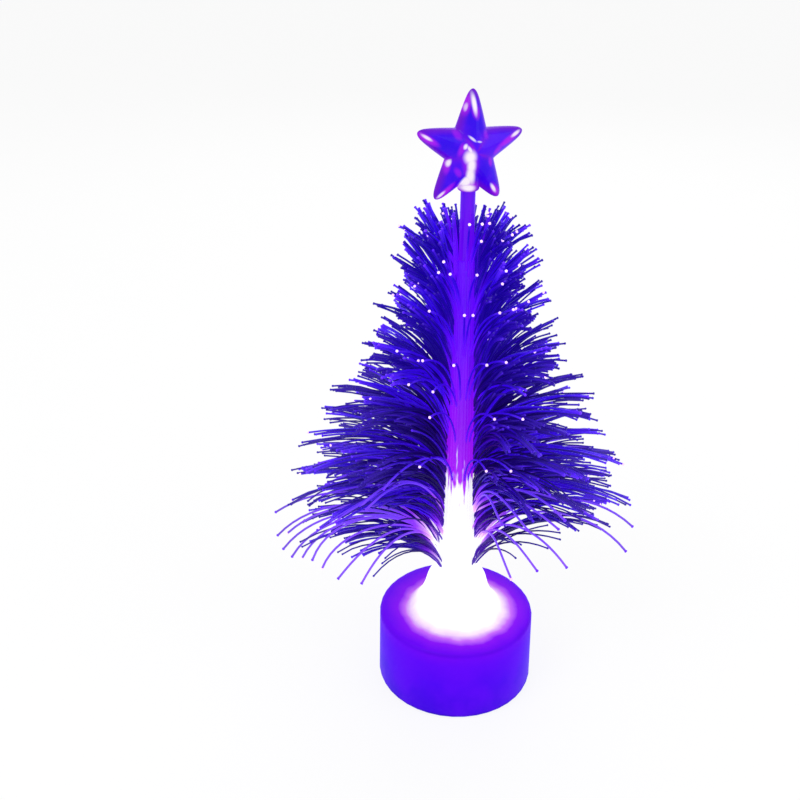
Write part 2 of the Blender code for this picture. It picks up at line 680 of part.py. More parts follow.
def make_led_holder(parts, cutters, material):
    shelf = HOLDER_TOP + HOLDER_SHELF_HEIGHT
    collar_top = HOLDER_TOP + HOLDER_COLLAR_HEIGHT
    lamp_bore = LED_FLANGE_RADIUS + SEAT_GAP
    profile = [
        (0.0, HOLDER_TOP), (HOLDER_POCKET_RADIUS, HOLDER_TOP), (HOLDER_POCKET_RADIUS, shelf),
        (lamp_bore, shelf), (lamp_bore, collar_top), (HOLDER_COLLAR_RADIUS, collar_top),
        (HOLDER_COLLAR_RADIUS, HOLDER_TOP), (HOLDER_RADIUS, HOLDER_TOP),
        (HOLDER_RADIUS, HOLDER_BOTTOM), (0.0, HOLDER_BOTTOM),
    ]
    holder = place(turned("led_holder", profile), parts, material)
    lead = cylinder(
        "cathode_hole", LEAD_RADIUS + SEAT_GAP, HOLDER_BOTTOM - CUT_OVERRUN, HOLDER_TOP + CUT_OVERRUN / 2,
        (LEAD_PITCH / 2, 0.0), steps=LEAD_STEPS,
    )
    cut(holder, lead, cutters)
    anode_half = LEAD_RADIUS + RUNNING_GAP
    anode_slot = box(
        "anode_slot",
        (-LEAD_PITCH / 2 - anode_half, -HOLDER_COLLAR_RADIUS - CUT_OVERRUN, HOLDER_TOP),
        (-LEAD_PITCH / 2 + anode_half, -LEAD_PITCH / 2, shelf + FUSE_DEPTH),
    )
    cut(holder, anode_slot, cutters)
    wire_notch = box(
        "wire_notch",
        (-LEAD_PITCH / 2 - WIRE_NOTCH / 2, -HOLDER_RADIUS - CUT_OVERRUN, HOLDER_BOTTOM - CUT_OVERRUN),
        (-LEAD_PITCH / 2 + WIRE_NOTCH / 2, -ANODE_REACH - SEAT_GAP, HOLDER_TOP + CUT_OVERRUN / 3),
    )
    cut(holder, wire_notch, cutters)
    return holder


def make_led_lamp(parts, material):
    dome = fillet((0.0, LED_TOP - LED_RADIUS), LED_RADIUS, 90, 0, 5)
    dome[0] = (0.0, LED_TOP)
    profile = dome + [
        (LED_RADIUS, LED_BOTTOM + LED_FLANGE_HEIGHT), (LED_FLANGE_RADIUS, LED_BOTTOM + LED_FLANGE_HEIGHT),
        (LED_FLANGE_RADIUS, LED_BOTTOM), (0.0, LED_BOTTOM),
    ]
    return place(turned("led_lamp", profile, SMALL_STEPS), parts, material)


def make_led_leads(parts, material):
    top = LED_BOTTOM - SEAT_GAP / 2
    cathode = cylinder(
        "led_cathode_lead", LEAD_RADIUS, PLATE_TOP + SEAT_GAP, top, (LEAD_PITCH / 2, 0.0), steps=LEAD_STEPS
    )
    place(cathode, parts, material)
    x = -LEAD_PITCH / 2
    low = LED_BOTTOM - LEAD_DROP
    corners = [(x, 0.0, top), (x, 0.0, low), (x, -ANODE_REACH, low)]
    anode = tube_curve("led_anode_lead", rounded_route(corners, LEAD_BEND), LEAD_RADIUS)
    place(anode, parts, material)


def make_wires(parts, red, blue):
    wire_end = PIN_TOP + SEAT_GAP
    tab_end = -CELL_RADIUS - SEAT_GAP - CONTACT_THICKNESS / 2 - CONTACT_TAB
    corners = [
        (0.0, tab_end - SEAT_GAP, TAB_HEIGHT),
        (0.0, -SWITCH_PLACE, TAB_HEIGHT), (0.0, -SWITCH_PLACE, wire_end),
    ]
    positive = tube_curve("positive_wire", rounded_route(corners, POSITIVE_BEND), WIRE_RADIUS)
    place(positive, parts, red)
    x = -LEAD_PITCH / 2
    pin_x = -PIN_PITCH
    low = LED_BOTTOM - LEAD_DROP
    bend = -ANODE_REACH - WIRE_NOTCH / 2 - SEAT_GAP
    corners = [
        (x, -ANODE_REACH - SEAT_GAP, low), (x, bend, low), (x, bend, HOLDER_BOTTOM - WIRE_RADIUS),
        (pin_x, -SWITCH_PLACE, wire_end + WIRE_ENTRY), (pin_x, -SWITCH_PLACE, wire_end),
    ]
    switched = tube_curve("switched_wire", rounded_route(corners, SWITCHED_BEND), WIRE_RADIUS)
    place(switched, parts, blue)


def make_light_rod(parts, material):
    top = fillet((ROD_RADIUS - ROD_END_FILLET, ROD_TOP - ROD_END_FILLET), ROD_END_FILLET, 90, 0)
    profile = [(0.0, ROD_TOP)] + top + [(ROD_RADIUS, BUNDLE_BOTTOM), (0.0, BUNDLE_BOTTOM)]
    return place(turned("light_rod", profile, SMALL_STEPS), parts, material)


def exit_height(tier):
    return LOWEST_EXIT + (HIGHEST_EXIT - LOWEST_EXIT) * TIER_EXIT_SHARES[tier]


def bundle_radius(tier):
    return BUNDLE_FOOT_RADIUS + (BUNDLE_TOP_RADIUS - BUNDLE_FOOT_RADIUS) * TIER_EXIT_SHARES[tier]


def fibres_in_row(tier):
    return FIBRE_TIER_SHARES[tier][0]


def step_angle(tier):
    """Angle between two fibres of a row, which stand all round but for the front gap."""
    return (math.tau - math.radians(FRONT_GAP_RIGHT - FRONT_GAP_LEFT)) / fibres_in_row(tier)


def direction(tier, steps):
    """Angle round the rod after this many steps from the right side of the front gap."""
    shift = (tier * TIER_TURN_SHARE + 0.5) % 1.0 - 0.5
    return math.radians(FRONT_GAP_RIGHT) + step_angle(tier) * (steps + shift)


def corner_radius(tier, radius):
    """Radius of the corners of a slice whose flat sides lie at this radius."""
    return radius / math.cos(step_angle(tier) / 2)


def fibre_curve(start, leaving, tip, ending, upto):
    """Points of one fibre as shares of the fan's reach and rise, on a curve with set end angles."""
    start = Vector(start)
    tip = Vector(tip)
    span = (tip - start).length
    leaving = math.radians(leaving)
    ending = math.radians(ending)
    first = start + Vector((math.cos(leaving), math.sin(leaving))) * span * LEAVING_SHARE
    last = tip - Vector((math.cos(ending), math.sin(ending))) * span * ENDING_SHARE
    points = []
    for step in range(FIBRE_POINTS + 1):
        t = upto * step / FIBRE_POINTS
        points.append(
            start * (1 - t) ** 3 + first * 3 * t * (1 - t) ** 2 + last * 3 * t**2 * (1 - t) + tip * t**3
        )
    return points


def rooted(shares, top):
    """Turns shares into places (radius, height), and lets the fibre start inside the bundle."""
    points = [Vector((share.x * FAN_REACH, top + share.y * FAN_RISE)) for share in shares]
    root = points[0] - (points[1] - points[0]).normalized() * FIBRE_ROOT
    return [root] + points[1:]


def tier_fibres(tier, chance):
    """The routes of a tier's fibres in space. Those beside the front gap are the longest."""
    count, rows = FIBRE_TIER_SHARES[tier]
    fibres = []
    for row, (reach, rise, leaving, ending) in enumerate(rows):
        below = TIER_ROW_STEP * (len(rows) - 1 - row)
        start = (bundle_radius(tier) / FAN_REACH, -below / FAN_RISE)
        losses = [chance.uniform(LEAST_LOSS_SHARE, 1.0) for _ in range(count // 2)]
        for index in range(count):
            turn = direction(tier, index + (row + 0.5) / len(rows))
            behind = math.sin(math.pi * (index + 0.5) / count)
            loss = losses[min(index, count - 1 - index)] * behind
            upto = 1.0 - (1.0 - SHORTEST_SHARE) * loss
            shares = fibre_curve(start, leaving, (reach, rise), ending, upto)
            flat = rooted(shares, exit_height(tier))
            fibres.append([(p.x * math.cos(turn), p.x * math.sin(turn), p.y) for p in flat])
    return fibres


def fibre_section(cutters):
    """The three-sided outline that every fibre is swept with."""
    curve = bpy.data.curves.new("fibre_section", "CURVE")
    curve.dimensions = "2D"
    spline = curve.splines.new("POLY")
    spline.points.add(2)
    for index, point in enumerate(spline.points):
        angle = math.tau * index / 3
        point.co = (FIBRE_RADIUS * math.cos(angle), FIBRE_RADIUS * math.sin(angle), 0.0, 1.0)
    spline.use_cyclic_u = True
    section = bpy.data.objects.new("fibre_section", curve)
    section.hide_render = True
    cutters.objects.link(section)
    return section


def swept_fibres(name, fibres, section, cutters):
    """All fibres of a tier as one mesh of closed strands."""
    curve = bpy.data.curves.new(name, "CURVE")
    curve.dimensions = "3D"
    curve.bevel_mode = "OBJECT"
    curve.bevel_object = section
    curve.use_fill_caps = True
    for fibre in fibres:
        spline = curve.splines.new("POLY")
        spline.points.add(len(fibre) - 1)
        for point, place_at in zip(spline.points, fibre):
            point.co = (*place_at, 1.0)
    guide = bpy.data.objects.new(name, curve)
    cutters.objects.link(guide)
    graph = bpy.context.evaluated_depsgraph_get()
    mesh = bpy.data.meshes.new_from_object(guide.evaluated_get(graph))
    bpy.data.objects.remove(guide, do_unlink=True)
    bm = bmesh.new()
    bm.from_mesh(mesh)
    bpy.data.meshes.remove(mesh)
    bmesh.ops.remove_doubles(bm, verts=bm.verts, dist=FIBRE_RADIUS * FIBRE_WELD_SHARE)
    return mesh_object(name, bm)


def slice_angles(tier):
    """Where a slice has corners: between each two fibres of a row, and in the front gap."""
    angles = [direction(tier, step) for step in range(fibres_in_row(tier) + 1)]
    gap_side = (angles[0] + math.tau - angles[-1]) / FRONT_GAP_SIDES
    return angles + [angles[-1] + gap_side * side for side in range(1, FRONT_GAP_SIDES)]


def bundle_slice(tier):
    """A tier's slice of the bundle: a tube with flat sides round the rod."""
    radius = corner_radius(tier, bundle_radius(tier))
    bore = corner_radius(tier, ROD_RADIUS + BUNDLE_GAP)
    bottom = BUNDLE_BOTTOM if tier == 0 else exit_height(tier - 1) + SLICE_LAP + SEAT_GAP
    top = exit_height(tier) + SLICE_LAP
    bm = bmesh.new()
    rings = []
    for reach, height in ((radius, top), (radius, bottom), (bore, bottom), (bore, top)):
        rings.append([
            bm.verts.new((reach * math.cos(angle), reach * math.sin(angle), height))
            for angle in slice_angles(tier)
        ])
    for ring, after_ring in zip(rings, rings[1:] + rings[:1]):
        for index, corner in enumerate(ring):
            after = (index + 1) % len(ring)
            bm.faces.new((corner, ring[after], after_ring[after], after_ring[index]))
    return mesh_object(f"fibre_tier_{tier + 1}", bm)


def make_fibre_tier(tier, section, chance, parts, cutters, material):
    """A slice of the bundle round the rod. One fibre of each row leaves each side but the gap's."""
    bundle = place(bundle_slice(tier), parts, material)
    strands = swept_fibres(f"strands_{tier + 1}", tier_fibres(tier, chance), section, cutters)
    join(bundle, strands, cutters)
    return bundle


def star_outline():
    """Points round the star as (angle, radius): each arm has convex sides and a blunt tip."""
    points = []
    for arm in range(STAR_ARMS):
        middle = math.tau * arm / STAR_ARMS + math.pi / 2
        for along, aside in STAR_ARM_SHARES:
            angle = middle + math.atan2(aside, along)
            points.append((angle, STAR_RADIUS * math.hypot(along, aside)))
        points.append((middle + math.pi / STAR_ARMS, STAR_RADIUS * STAR_NOTCH_SHARE))
    return points


def make_star(parts, cutters, material):
    """A puffed star: its middle is thick and its edge is round, on a socket for the rod."""
    bm = bmesh.new()
    half = STAR_THICKNESS / 2
    rings = []
    for inset, depth in (
        (STAR_CROWN_SHARE, -half * STAR_CROWN_DEPTH_SHARE), (1.0, -STAR_EDGE / 2),
        (1.0, STAR_EDGE / 2), (STAR_CROWN_SHARE, half * STAR_CROWN_DEPTH_SHARE),
    ):
        rings.append([
            bm.verts.new((reach * inset * math.cos(angle), depth, reach * inset * math.sin(angle)))
            for angle, reach in star_outline()
        ])
    for ring, after_ring in zip(rings, rings[1:]):
        for index, corner in enumerate(ring):
            after = (index + 1) % len(ring)
            bm.faces.new((corner, ring[after], after_ring[after], after_ring[index]))
    for ring, depth in ((rings[0], -half), (rings[-1], half)):
        middle = bm.verts.new((0.0, depth, 0.0))
        for index, corner in enumerate(ring):
            bm.faces.new((middle, corner, ring[(index + 1) % len(ring)]))
    star = place(mesh_object("star", bm), parts, material)
    soften = star.modifiers.new("Puff", "SUBSURF")
    soften.levels = 1
    soften.render_levels = 1
    star.location = (0.0, 0.0, STAR_CENTRE)
    star.rotation_euler = (0.0, math.radians(STAR_LEAN), math.radians(STAR_TURN))
    add_star_socket(star, cutters)
    return star


def add_star_socket(star, cutters):
    edge = fillet((SOCKET_RADIUS - SOCKET_FILLET, SOCKET_BOTTOM + SOCKET_FILLET), SOCKET_FILLET, 0, -90)
    profile = [(0.0, STAR_CENTRE), (SOCKET_RADIUS, STAR_CENTRE)] + edge + [(0.0, SOCKET_BOTTOM)]
    socket = turned("star_socket", profile, SMALL_STEPS)
    bore = cylinder(
        "socket_bore", ROD_RADIUS + BUNDLE_GAP, SOCKET_BOTTOM - CUT_OVERRUN, SOCKET_BOTTOM + SOCKET_DEPTH
    )
    join(star, socket, cutters)
    cut(star, bore, cutters)


def main():
    clear_scene()
    parts = make_collection("fiber_optic_christmas_tree")
    cutters = make_collection("cutters")
    cutters.hide_render = True
    shell_white = make_material("translucent_white", (0.62, 0.45, 0.95), 0.35, transmission=0.3)
    cover_white = make_material("cover_white", (0.85, 0.85, 0.88), 0.45)
    can_steel = make_material("can_steel", (0.72, 0.72, 0.74), 0.3, 1.0)
    brass = make_material("contact_brass", (0.8, 0.65, 0.35), 0.35, 1.0)
    screw_steel = make_material("screw_steel", (0.6, 0.6, 0.62), 0.35, 1.0)
    black = make_material("switch_black", (0.03, 0.03, 0.035), 0.4)
    clear = make_material("clear_acrylic", (0.45, 0.2, 1.0), 0.08, transmission=0.9)
    fibre = make_material("fibre_acrylic", (0.16, 0.08, 0.95), 0.2, transmission=0.4)
    lens = make_material("led_epoxy", (0.9, 0.9, 0.95), 0.1, transmission=0.8)
    red = make_material("wire_red", (0.7, 0.04, 0.04), 0.45)
    blue = make_material("wire_blue", (0.05, 0.12, 0.6), 0.45)

    make_base_shell(parts, cutters, shell_white)
    make_bottom_cover(parts, cutters, cover_white)
    make_battery_door(parts, cutters, cover_white)
    for number, side in enumerate(SCREW_SIDES, 1):
        make_screw(number, side, parts, cutters, screw_steel)
    for index in range(CELL_COUNT):
        make_cell(index, parts, can_steel)
    make_positive_contact(parts, brass)
    make_negative_plate(parts, brass)
    make_negative_spring(parts, screw_steel)
    make_switch_body(parts, cutters, black)
    for index in range(PIN_COUNT):
        make_switch_pin(index, parts, brass)
    make_switch_knob(parts, cutters, cover_white)
    make_led_holder(parts, cutters, cover_white)
    make_led_lamp(parts, lens)
    make_led_leads(parts, screw_steel)
    make_wires(parts, red, blue)
    make_light_rod(parts, clear)
    chance = random.Random(7)
    section = fibre_section(cutters)
    for tier in range(len(FIBRE_TIER_SHARES)):
        make_fibre_tier(tier, section, chance, parts, cutters, fibre)
    make_star(parts, cutters, clear)


main()
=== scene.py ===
"""Looks of a miniature fiber optic christmas tree, lit from the lamp in its base.

All sizes are in metres, in the part's own frame: the tree stands on z = 0, round the Z axis.
"""

import math
import random

import bmesh
import bpy
import numpy as np
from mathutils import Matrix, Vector


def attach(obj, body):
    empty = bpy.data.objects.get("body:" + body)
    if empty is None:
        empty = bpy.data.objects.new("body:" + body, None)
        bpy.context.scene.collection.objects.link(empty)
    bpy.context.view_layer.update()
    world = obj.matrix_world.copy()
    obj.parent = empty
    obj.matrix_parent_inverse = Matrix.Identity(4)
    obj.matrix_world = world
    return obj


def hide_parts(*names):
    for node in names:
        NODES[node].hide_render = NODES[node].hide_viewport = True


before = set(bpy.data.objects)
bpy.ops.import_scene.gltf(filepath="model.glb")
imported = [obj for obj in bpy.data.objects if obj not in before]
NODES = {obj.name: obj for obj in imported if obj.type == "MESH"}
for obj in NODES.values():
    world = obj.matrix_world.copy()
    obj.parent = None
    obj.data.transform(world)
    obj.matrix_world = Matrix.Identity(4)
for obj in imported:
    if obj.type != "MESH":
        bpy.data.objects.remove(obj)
for startup_name in ("Cube", "Light", "Camera"):
    if startup_name in bpy.data.objects:
        bpy.data.objects.remove(bpy.data.objects[startup_name])

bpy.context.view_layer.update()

WHITE = (1.0, 1.0, 1.0, 1.0)
BLACK = (0.0, 0.0, 0.0, 1.0)

# Camera
CAMERA_PLACE = (0.0, -0.16814, 0.14449)
CAMERA_ANGLES = (64.23, 0.0, 3.96)
CAMERA_LENS = 44.65
CAMERA_SENSOR = 36.0
CAMERA_NEAR = 0.001

# Soft lamps: name, place, size and power. They all point at the middle of the tree.
LAMPS = (
    ("key", (-0.32, -0.34, 0.55), 0.40, 1.6),
    ("fill", (0.42, -0.20, 0.36), 0.45, 0.8),
    ("back", (0.05, 0.46, 0.42), 0.45, 0.8),
)
LAMP_TARGET = (0.0, 0.0, 0.05)
ROOM_STRENGTH = 0.65
FLOOR_SIZE = 3.0
FLOOR_GLOW_SHARE = 0.86

# Base
BASE_RADIUS = 0.016
BASE_HEIGHT = 0.016
WELD_DISTANCE = 0.000002
SHARP_ANGLE = math.radians(32)

# Stem of fibres round the rod, as the CAD bundle has it
STEM_FOOT = 0.0252
STEM_LOW = 0.0290
STEM_TOP = 0.0910
STEM_FOOT_RADIUS = 0.0037
STEM_TOP_RADIUS = 0.00185
STEM_BORE = 0.0014
STEM_STEP = 0.002
SLICE_LAP = 0.0010
STEM_FLUTE = 0.00011
STEM_FLUTES = 32
FLUTE_SIDES = 4
STEM_BRIGHTNESS = 0.5

# Fibres
SEED = 11
ARC_RADIUS = 0.00022
LIT_RADIUS = 0.00019
DIM_RADIUS = 0.00018
LIT_SIDES = 5
DIM_SIDES = 4
FIBRE_POINTS = 11
ARC_POINTS = 22
FIBRE_ROOT = 0.0012
FAN_REACH = 0.0368
FAN_RISE = 0.0368
# How far a fibre keeps its leaving and its ending direction, as shares of its span
FAN_BEND_SHARES = (0.40, 0.34)
ARC_BEND_SHARES = (0.46, 0.42)
# A fibre's swollen end: its length, the places of its last two rings along it, and the radii of the
# last three rings
TIP_LENGTH = 0.00034
TIP_PLACE_SHARES = (0.45, 1.0)
TIP_RADIUS_SHARES = (1.0, 1.5, 1.08)
TIP_RINGS = len(TIP_RADIUS_SHARES)
BRIGHT_TIP_SHARE = 0.1
# Rows leave the stem this far apart, and this row leaves it at its tier's exit height
ROW_STEP = 0.0009
EXIT_ROW = 2.0
SHORTEST_SHARE = 0.80

# How far the fibres of a tuft stray from its middle one: their row, reach, rise, directions in degrees,
# length, and direction round the stem. Their roots lie closer together near the top of their zone.
ROW_STRAY = 0.16
REACH_STRAYS = (-0.02, 0.01)
RISE_STRAY = 0.012
LEAVING_STRAY = 3.0
ENDING_STRAY = 8.0
LENGTH_STRAY = 0.08
ROOT_TURN_STRAY = 0.15
ROOT_POWER = 1.2
TUFT_SPREADS = (0.012, 0.05)
SINGLE_SPREAD = 0.05
SINGLE_LENGTHS = (0.55, 0.88)
SINGLE_OVERRUN = 0.02

# The fibres are combed away from the front, a little more on the left, so that the stem shows there
GAP_LEFT = math.radians(-90 - 42)
GAP_RIGHT = math.radians(-90 + 26)
TIER_TURN_SHARE = 0.618
# Long fibres end sooner near the front: no further out than these reaches at these angles from the
# front. They all leave the stem at its sides and behind it.
FRONT_REACHES = (0.0212, 0.0268, 0.0368)
FRONT_ANGLES = (math.radians(25), math.radians(42), math.radians(78))
LEAST_ROOT_ANGLE = math.radians(64)

# Each tier: the height where its last fibres leave the stem, how far down the stem the first ones leave,
# its tufts in a row, its single fibres, and its rows from low to high. A row gives reach, rise, leaving
# angle and ending angle.
TIERS = (
    (0.0290, 0.0010, 16, 90, ((0.70, 0.08, 66, -64), (0.86, 0.17, 70, -46), (0.97, 0.27, 75, -22))),
    (0.0406, 0.0060, 16, 150, ((0.80, 0.02, 64, -48), (0.94, 0.07, 71, -36), (0.95, 0.17, 77, -20))),
    (0.0476, 0.0055, 14, 150, ((0.76, 0.02, 66, -38), (0.87, 0.13, 72, -24), (0.81, 0.27, 78, -8))),
    (0.0558, 0.0060, 14, 160, ((0.60, 0.13, 66, -28), (0.71, 0.20, 72, -14), (0.65, 0.31, 78, 4))),
    (0.0648, 0.0070, 12, 160, ((0.49, 0.15, 66, -18), (0.56, 0.26, 73, -2), (0.51, 0.38, 79, 20))),
    (0.0735, 0.0070, 11, 150, ((0.38, 0.19, 67, -4), (0.45, 0.27, 74, 12), (0.41, 0.36, 80, 34))),
    (0.0812, 0.0060, 11, 150, ((0.32, 0.17, 68, 12), (0.36, 0.28, 75, 30), (0.31, 0.36, 80, 50))),
    (0.0900, 0.0070, 9, 150, (
        (0.32, 0.18, 68, 26), (0.29, 0.25, 75, 46), (0.21, 0.29, 80, 64), (0.11, 0.29, 85, 78),
    )),
)
# A few fibres of the upper tiers come forward and end in a bright point. For each tier: the row that
# they follow, from 0 to 2, and their directions in degrees, to the right of the front
FRONT_FIBRES = (
    (),
    (),
    ((1.9, (-26, 17, 31)),),
    ((2.0, (-20, 21, 36)),),
    ((1.6, (-52, -28, -6, 16, 30, 58)), (0.2, (-42, -21))),
    ((1.5, (-30, 0, 7, 30, 44, 68)),),
    ((1.0, (-27, -15, 11, 43, 66)), (1.6, (-24,))),
    ((0.1, (16, 60, 74)), (1.2, (3, 19, 29, 72))),
)
FORWARD_BRIGHTNESS = 0.7
FORWARD_LENGTH = 0.97
FORWARD_REACH_SHARE = 0.77
# Bright fibres of the low tiers that arch out beside the front, one by one. For each tier: the direction
# in degrees to the right of the front, reach, rise, leaving angle and ending angle
ARCS = (
    (
        (21, 0.72, 0.33, 91, -18), (32, 0.72, 0.34, 85, -17), (45, 0.75, 0.31, 89, -34),
        (-38, 0.75, 0.21, 84, -45), (-43, 0.84, 0.25, 76, -34), (-59, 0.80, 0.16, 90, -66),
        (-59, 0.85, 0.23, 83, -68), (-64, 0.88, 0.20, 84, -62), (-67, 0.92, 0.19, 84, -58),
        (-72, 0.95, 0.19, 82, -52), (-75, 0.92, 0.25, 80, -42), (-79, 0.97, 0.20, 80, -48),
        (-85, 0.98, 0.28, 80, -36), (67, 0.91, 0.30, 84, -46), (76, 0.91, 0.36, 84, -40),
    ),
    (
        (44, 0.69, 0.19, 45, -13), (49, 0.68, 0.21, 59, -26), (54, 0.55, 0.28, 91, -28),
        (33, 0.61, 0.19, 84, -14), (24, 0.52, 0.19, 76, -18), (-51, 0.62, 0.21, 69, -35),
        (-43, 0.65, 0.25, 65, -24), (-73, 0.71, 0.22, 76, -27),
    ),
    ((-44, 0.53, 0.12, 103, -35),),
    (),
    (),
    (),
    (),
    (),
)
ARC_BRIGHTNESS = 0.97
ARC_ROW = 1
# Between these directions from the front the other tufts of the two lowest tiers are thin, dark and
# short. On the right they thin out downwards, and no single fibres stand between them.
THIN_LENGTH_SHARE = 0.74
THIN_SPANS = ((math.radians(-62), math.radians(88)), (math.radians(-52), math.radians(56)))
# Share of lit tufts in each row, from low to high: a tier's top is bright and its underside dark
LIT_TUFT_SHARES = (0.16, 0.33, 0.66, 0.3)
LIT_BESIDE_STEM_SHARE = 0.85
BESIDE_STEM = math.radians(88)
# Least and most fibres in a tuft
TUFT_FIBRES = (3, 8)
THIN_TUFT_FIBRES = (1, 3)
# Share of fibres that carry light in a lit tuft and in the others, and how bright these and the rest are
LIT_FIBRE_SHARE = 0.75
FAINT_FIBRE_SHARE = 0.2
LIT_BRIGHTNESS = (0.45, 1.0)
FAINT_BRIGHTNESS = (0.2, 0.45)
DARK_BRIGHTNESS = 0.12

# Star
STAR_ARMS = 5
STAR_RADIUS = 0.0098
STAR_CENTRE = 0.1100
STAR_HALF = 0.0030
STAR_TURN = 23.3
STAR_LEAN = 1.9
STAR_NOTCH_SHARE = 0.47
STAR_ARM_SHARES = (
    (0.66, -0.19), (0.84, -0.128), (0.97, -0.072), (1.03, 0.0), (0.97, 0.072), (0.84, 0.128),
    (0.66, 0.19),
)
STAR_EDGE_POINTS = 20
STAR_STEPS = 360
STAR_ROWS = 20
STAR_ROUNDING = 9
# The star's face is part rounded slab and part low peak, and its outline is rounder near its middle
STAR_SLAB_SHARE = 0.30
STAR_SLAB_POWER = 6
STAR_PEAK_SHARE = 0.70
STAR_PEAK_POWER = 1.6
STAR_OUTLINE_POWER = 0.7
STAR_SHARP_ANGLE = math.radians(50)
STAR_WELD = 0.00001
STAR_RIM_SHARES = (0.74, 0.98)
SOCKET_RADIUS = 0.0019
SOCKET_BOTTOM = 0.1032
SOCKET_LIP = 0.0005
SOCKET_LIP_POINTS = 5
SOCKET_BORE = 0.0014
SOCKET_BORE_TOP = 0.1091
BORE_OVERRUN = 0.001
SOCKET_SIDES = 48

# Painted light in the star, seen from the front, each (across, up, half length, half width, turn,
# strength): the whites are painted glints and reflections near the arms and the painted hot spot of the
# rod's end
STAR_PAINTED_WHITE_LIGHT = (
    (-0.00018, 0.00763, 0.0018, 0.00044, 96, 1.0),
    (-0.00139, 0.00710, 0.0007, 0.00023, 73, 0.55),
    (-0.00812, 0.00242, 0.0010, 0.00028, -30, 0.85),
    (0.00777, 0.00267, 0.0011, 0.00033, 24, 0.9),
    (-0.00411, -0.00179, 0.0007, 0.00031, 69, 0.85),
    (-0.00511, -0.00713, 0.0009, 0.00028, 51, 0.85),
    (0.00423, -0.00627, 0.0011, 0.00031, -51, 0.95),
    (-0.00067, 0.00228, 0.0008, 0.00023, -37, 0.75),
    (0.00056, 0.00180, 0.0005, 0.00018, -10, 0.6),
    (-0.00186, 0.00107, 0.0005, 0.00036, 58, 0.9),
    (-0.00108, 0.00052, 0.0008, 0.00033, -56, 0.9),
    (-0.00095, -0.00067, 0.0013, 0.00110, 106, 1.0),
    (-0.00056, -0.00214, 0.0019, 0.00084, 101, 1.0),
    (-0.00040, -0.00370, 0.0019, 0.00086, 101, 1.0),
    (-0.00095, -0.00490, 0.0013, 0.00090, 50, 1.0),
    (-0.00055, -0.00600, 0.0013, 0.00066, -3, 1.0),
)
# The magentas are painted magenta glints and glow round the white ones and along the valleys
STAR_PAINTED_MAGENTA_LIGHT = (
    (-0.00132, 0.00759, 0.0019, 0.00067, 76, 0.8),
    (0.00007, 0.00647, 0.0013, 0.00077, 99, 0.7),
    (-0.00795, 0.00214, 0.0022, 0.00062, -30, 0.9),
    (0.00635, 0.00181, 0.0027, 0.00062, 28, 0.85),
    (0.00435, 0.00031, 0.0012, 0.00056, 46, 0.6),
    (-0.00305, 0.00284, 0.0010, 0.00067, -48, 0.5),
    (0.00193, 0.00285, 0.0008, 0.00051, -76, 0.4),
    (-0.00446, -0.00666, 0.0022, 0.00056, 51, 0.95),
    (-0.00430, -0.00223, 0.0015, 0.00046, 78, 0.7),
    (0.00465, -0.00663, 0.0017, 0.00067, -51, 0.8),
    (0.00303, -0.00166, 0.0009, 0.00046, -72, 0.6),
    (-0.00248, 0.00055, 0.0012, 0.00062, 73, 0.7),
    (-0.00082, -0.00174, 0.0035, 0.00141, 101, 0.7),
    (-0.00275, -0.00324, 0.0010, 0.00056, -56, 0.5),
    (-0.00060, -0.00580, 0.0018, 0.00113, 2, 0.9),
)


def srgb(red, green, blue):
    """A colour given as 0 to 255 on screen, as linear values."""
    linear = []
    for value in (red, green, blue):
        share = value / 255
        linear.append(share / 12.92 if share <= 0.04045 else ((share + 0.055) / 1.055) ** 2.4)
    return (*linear, 1.0)


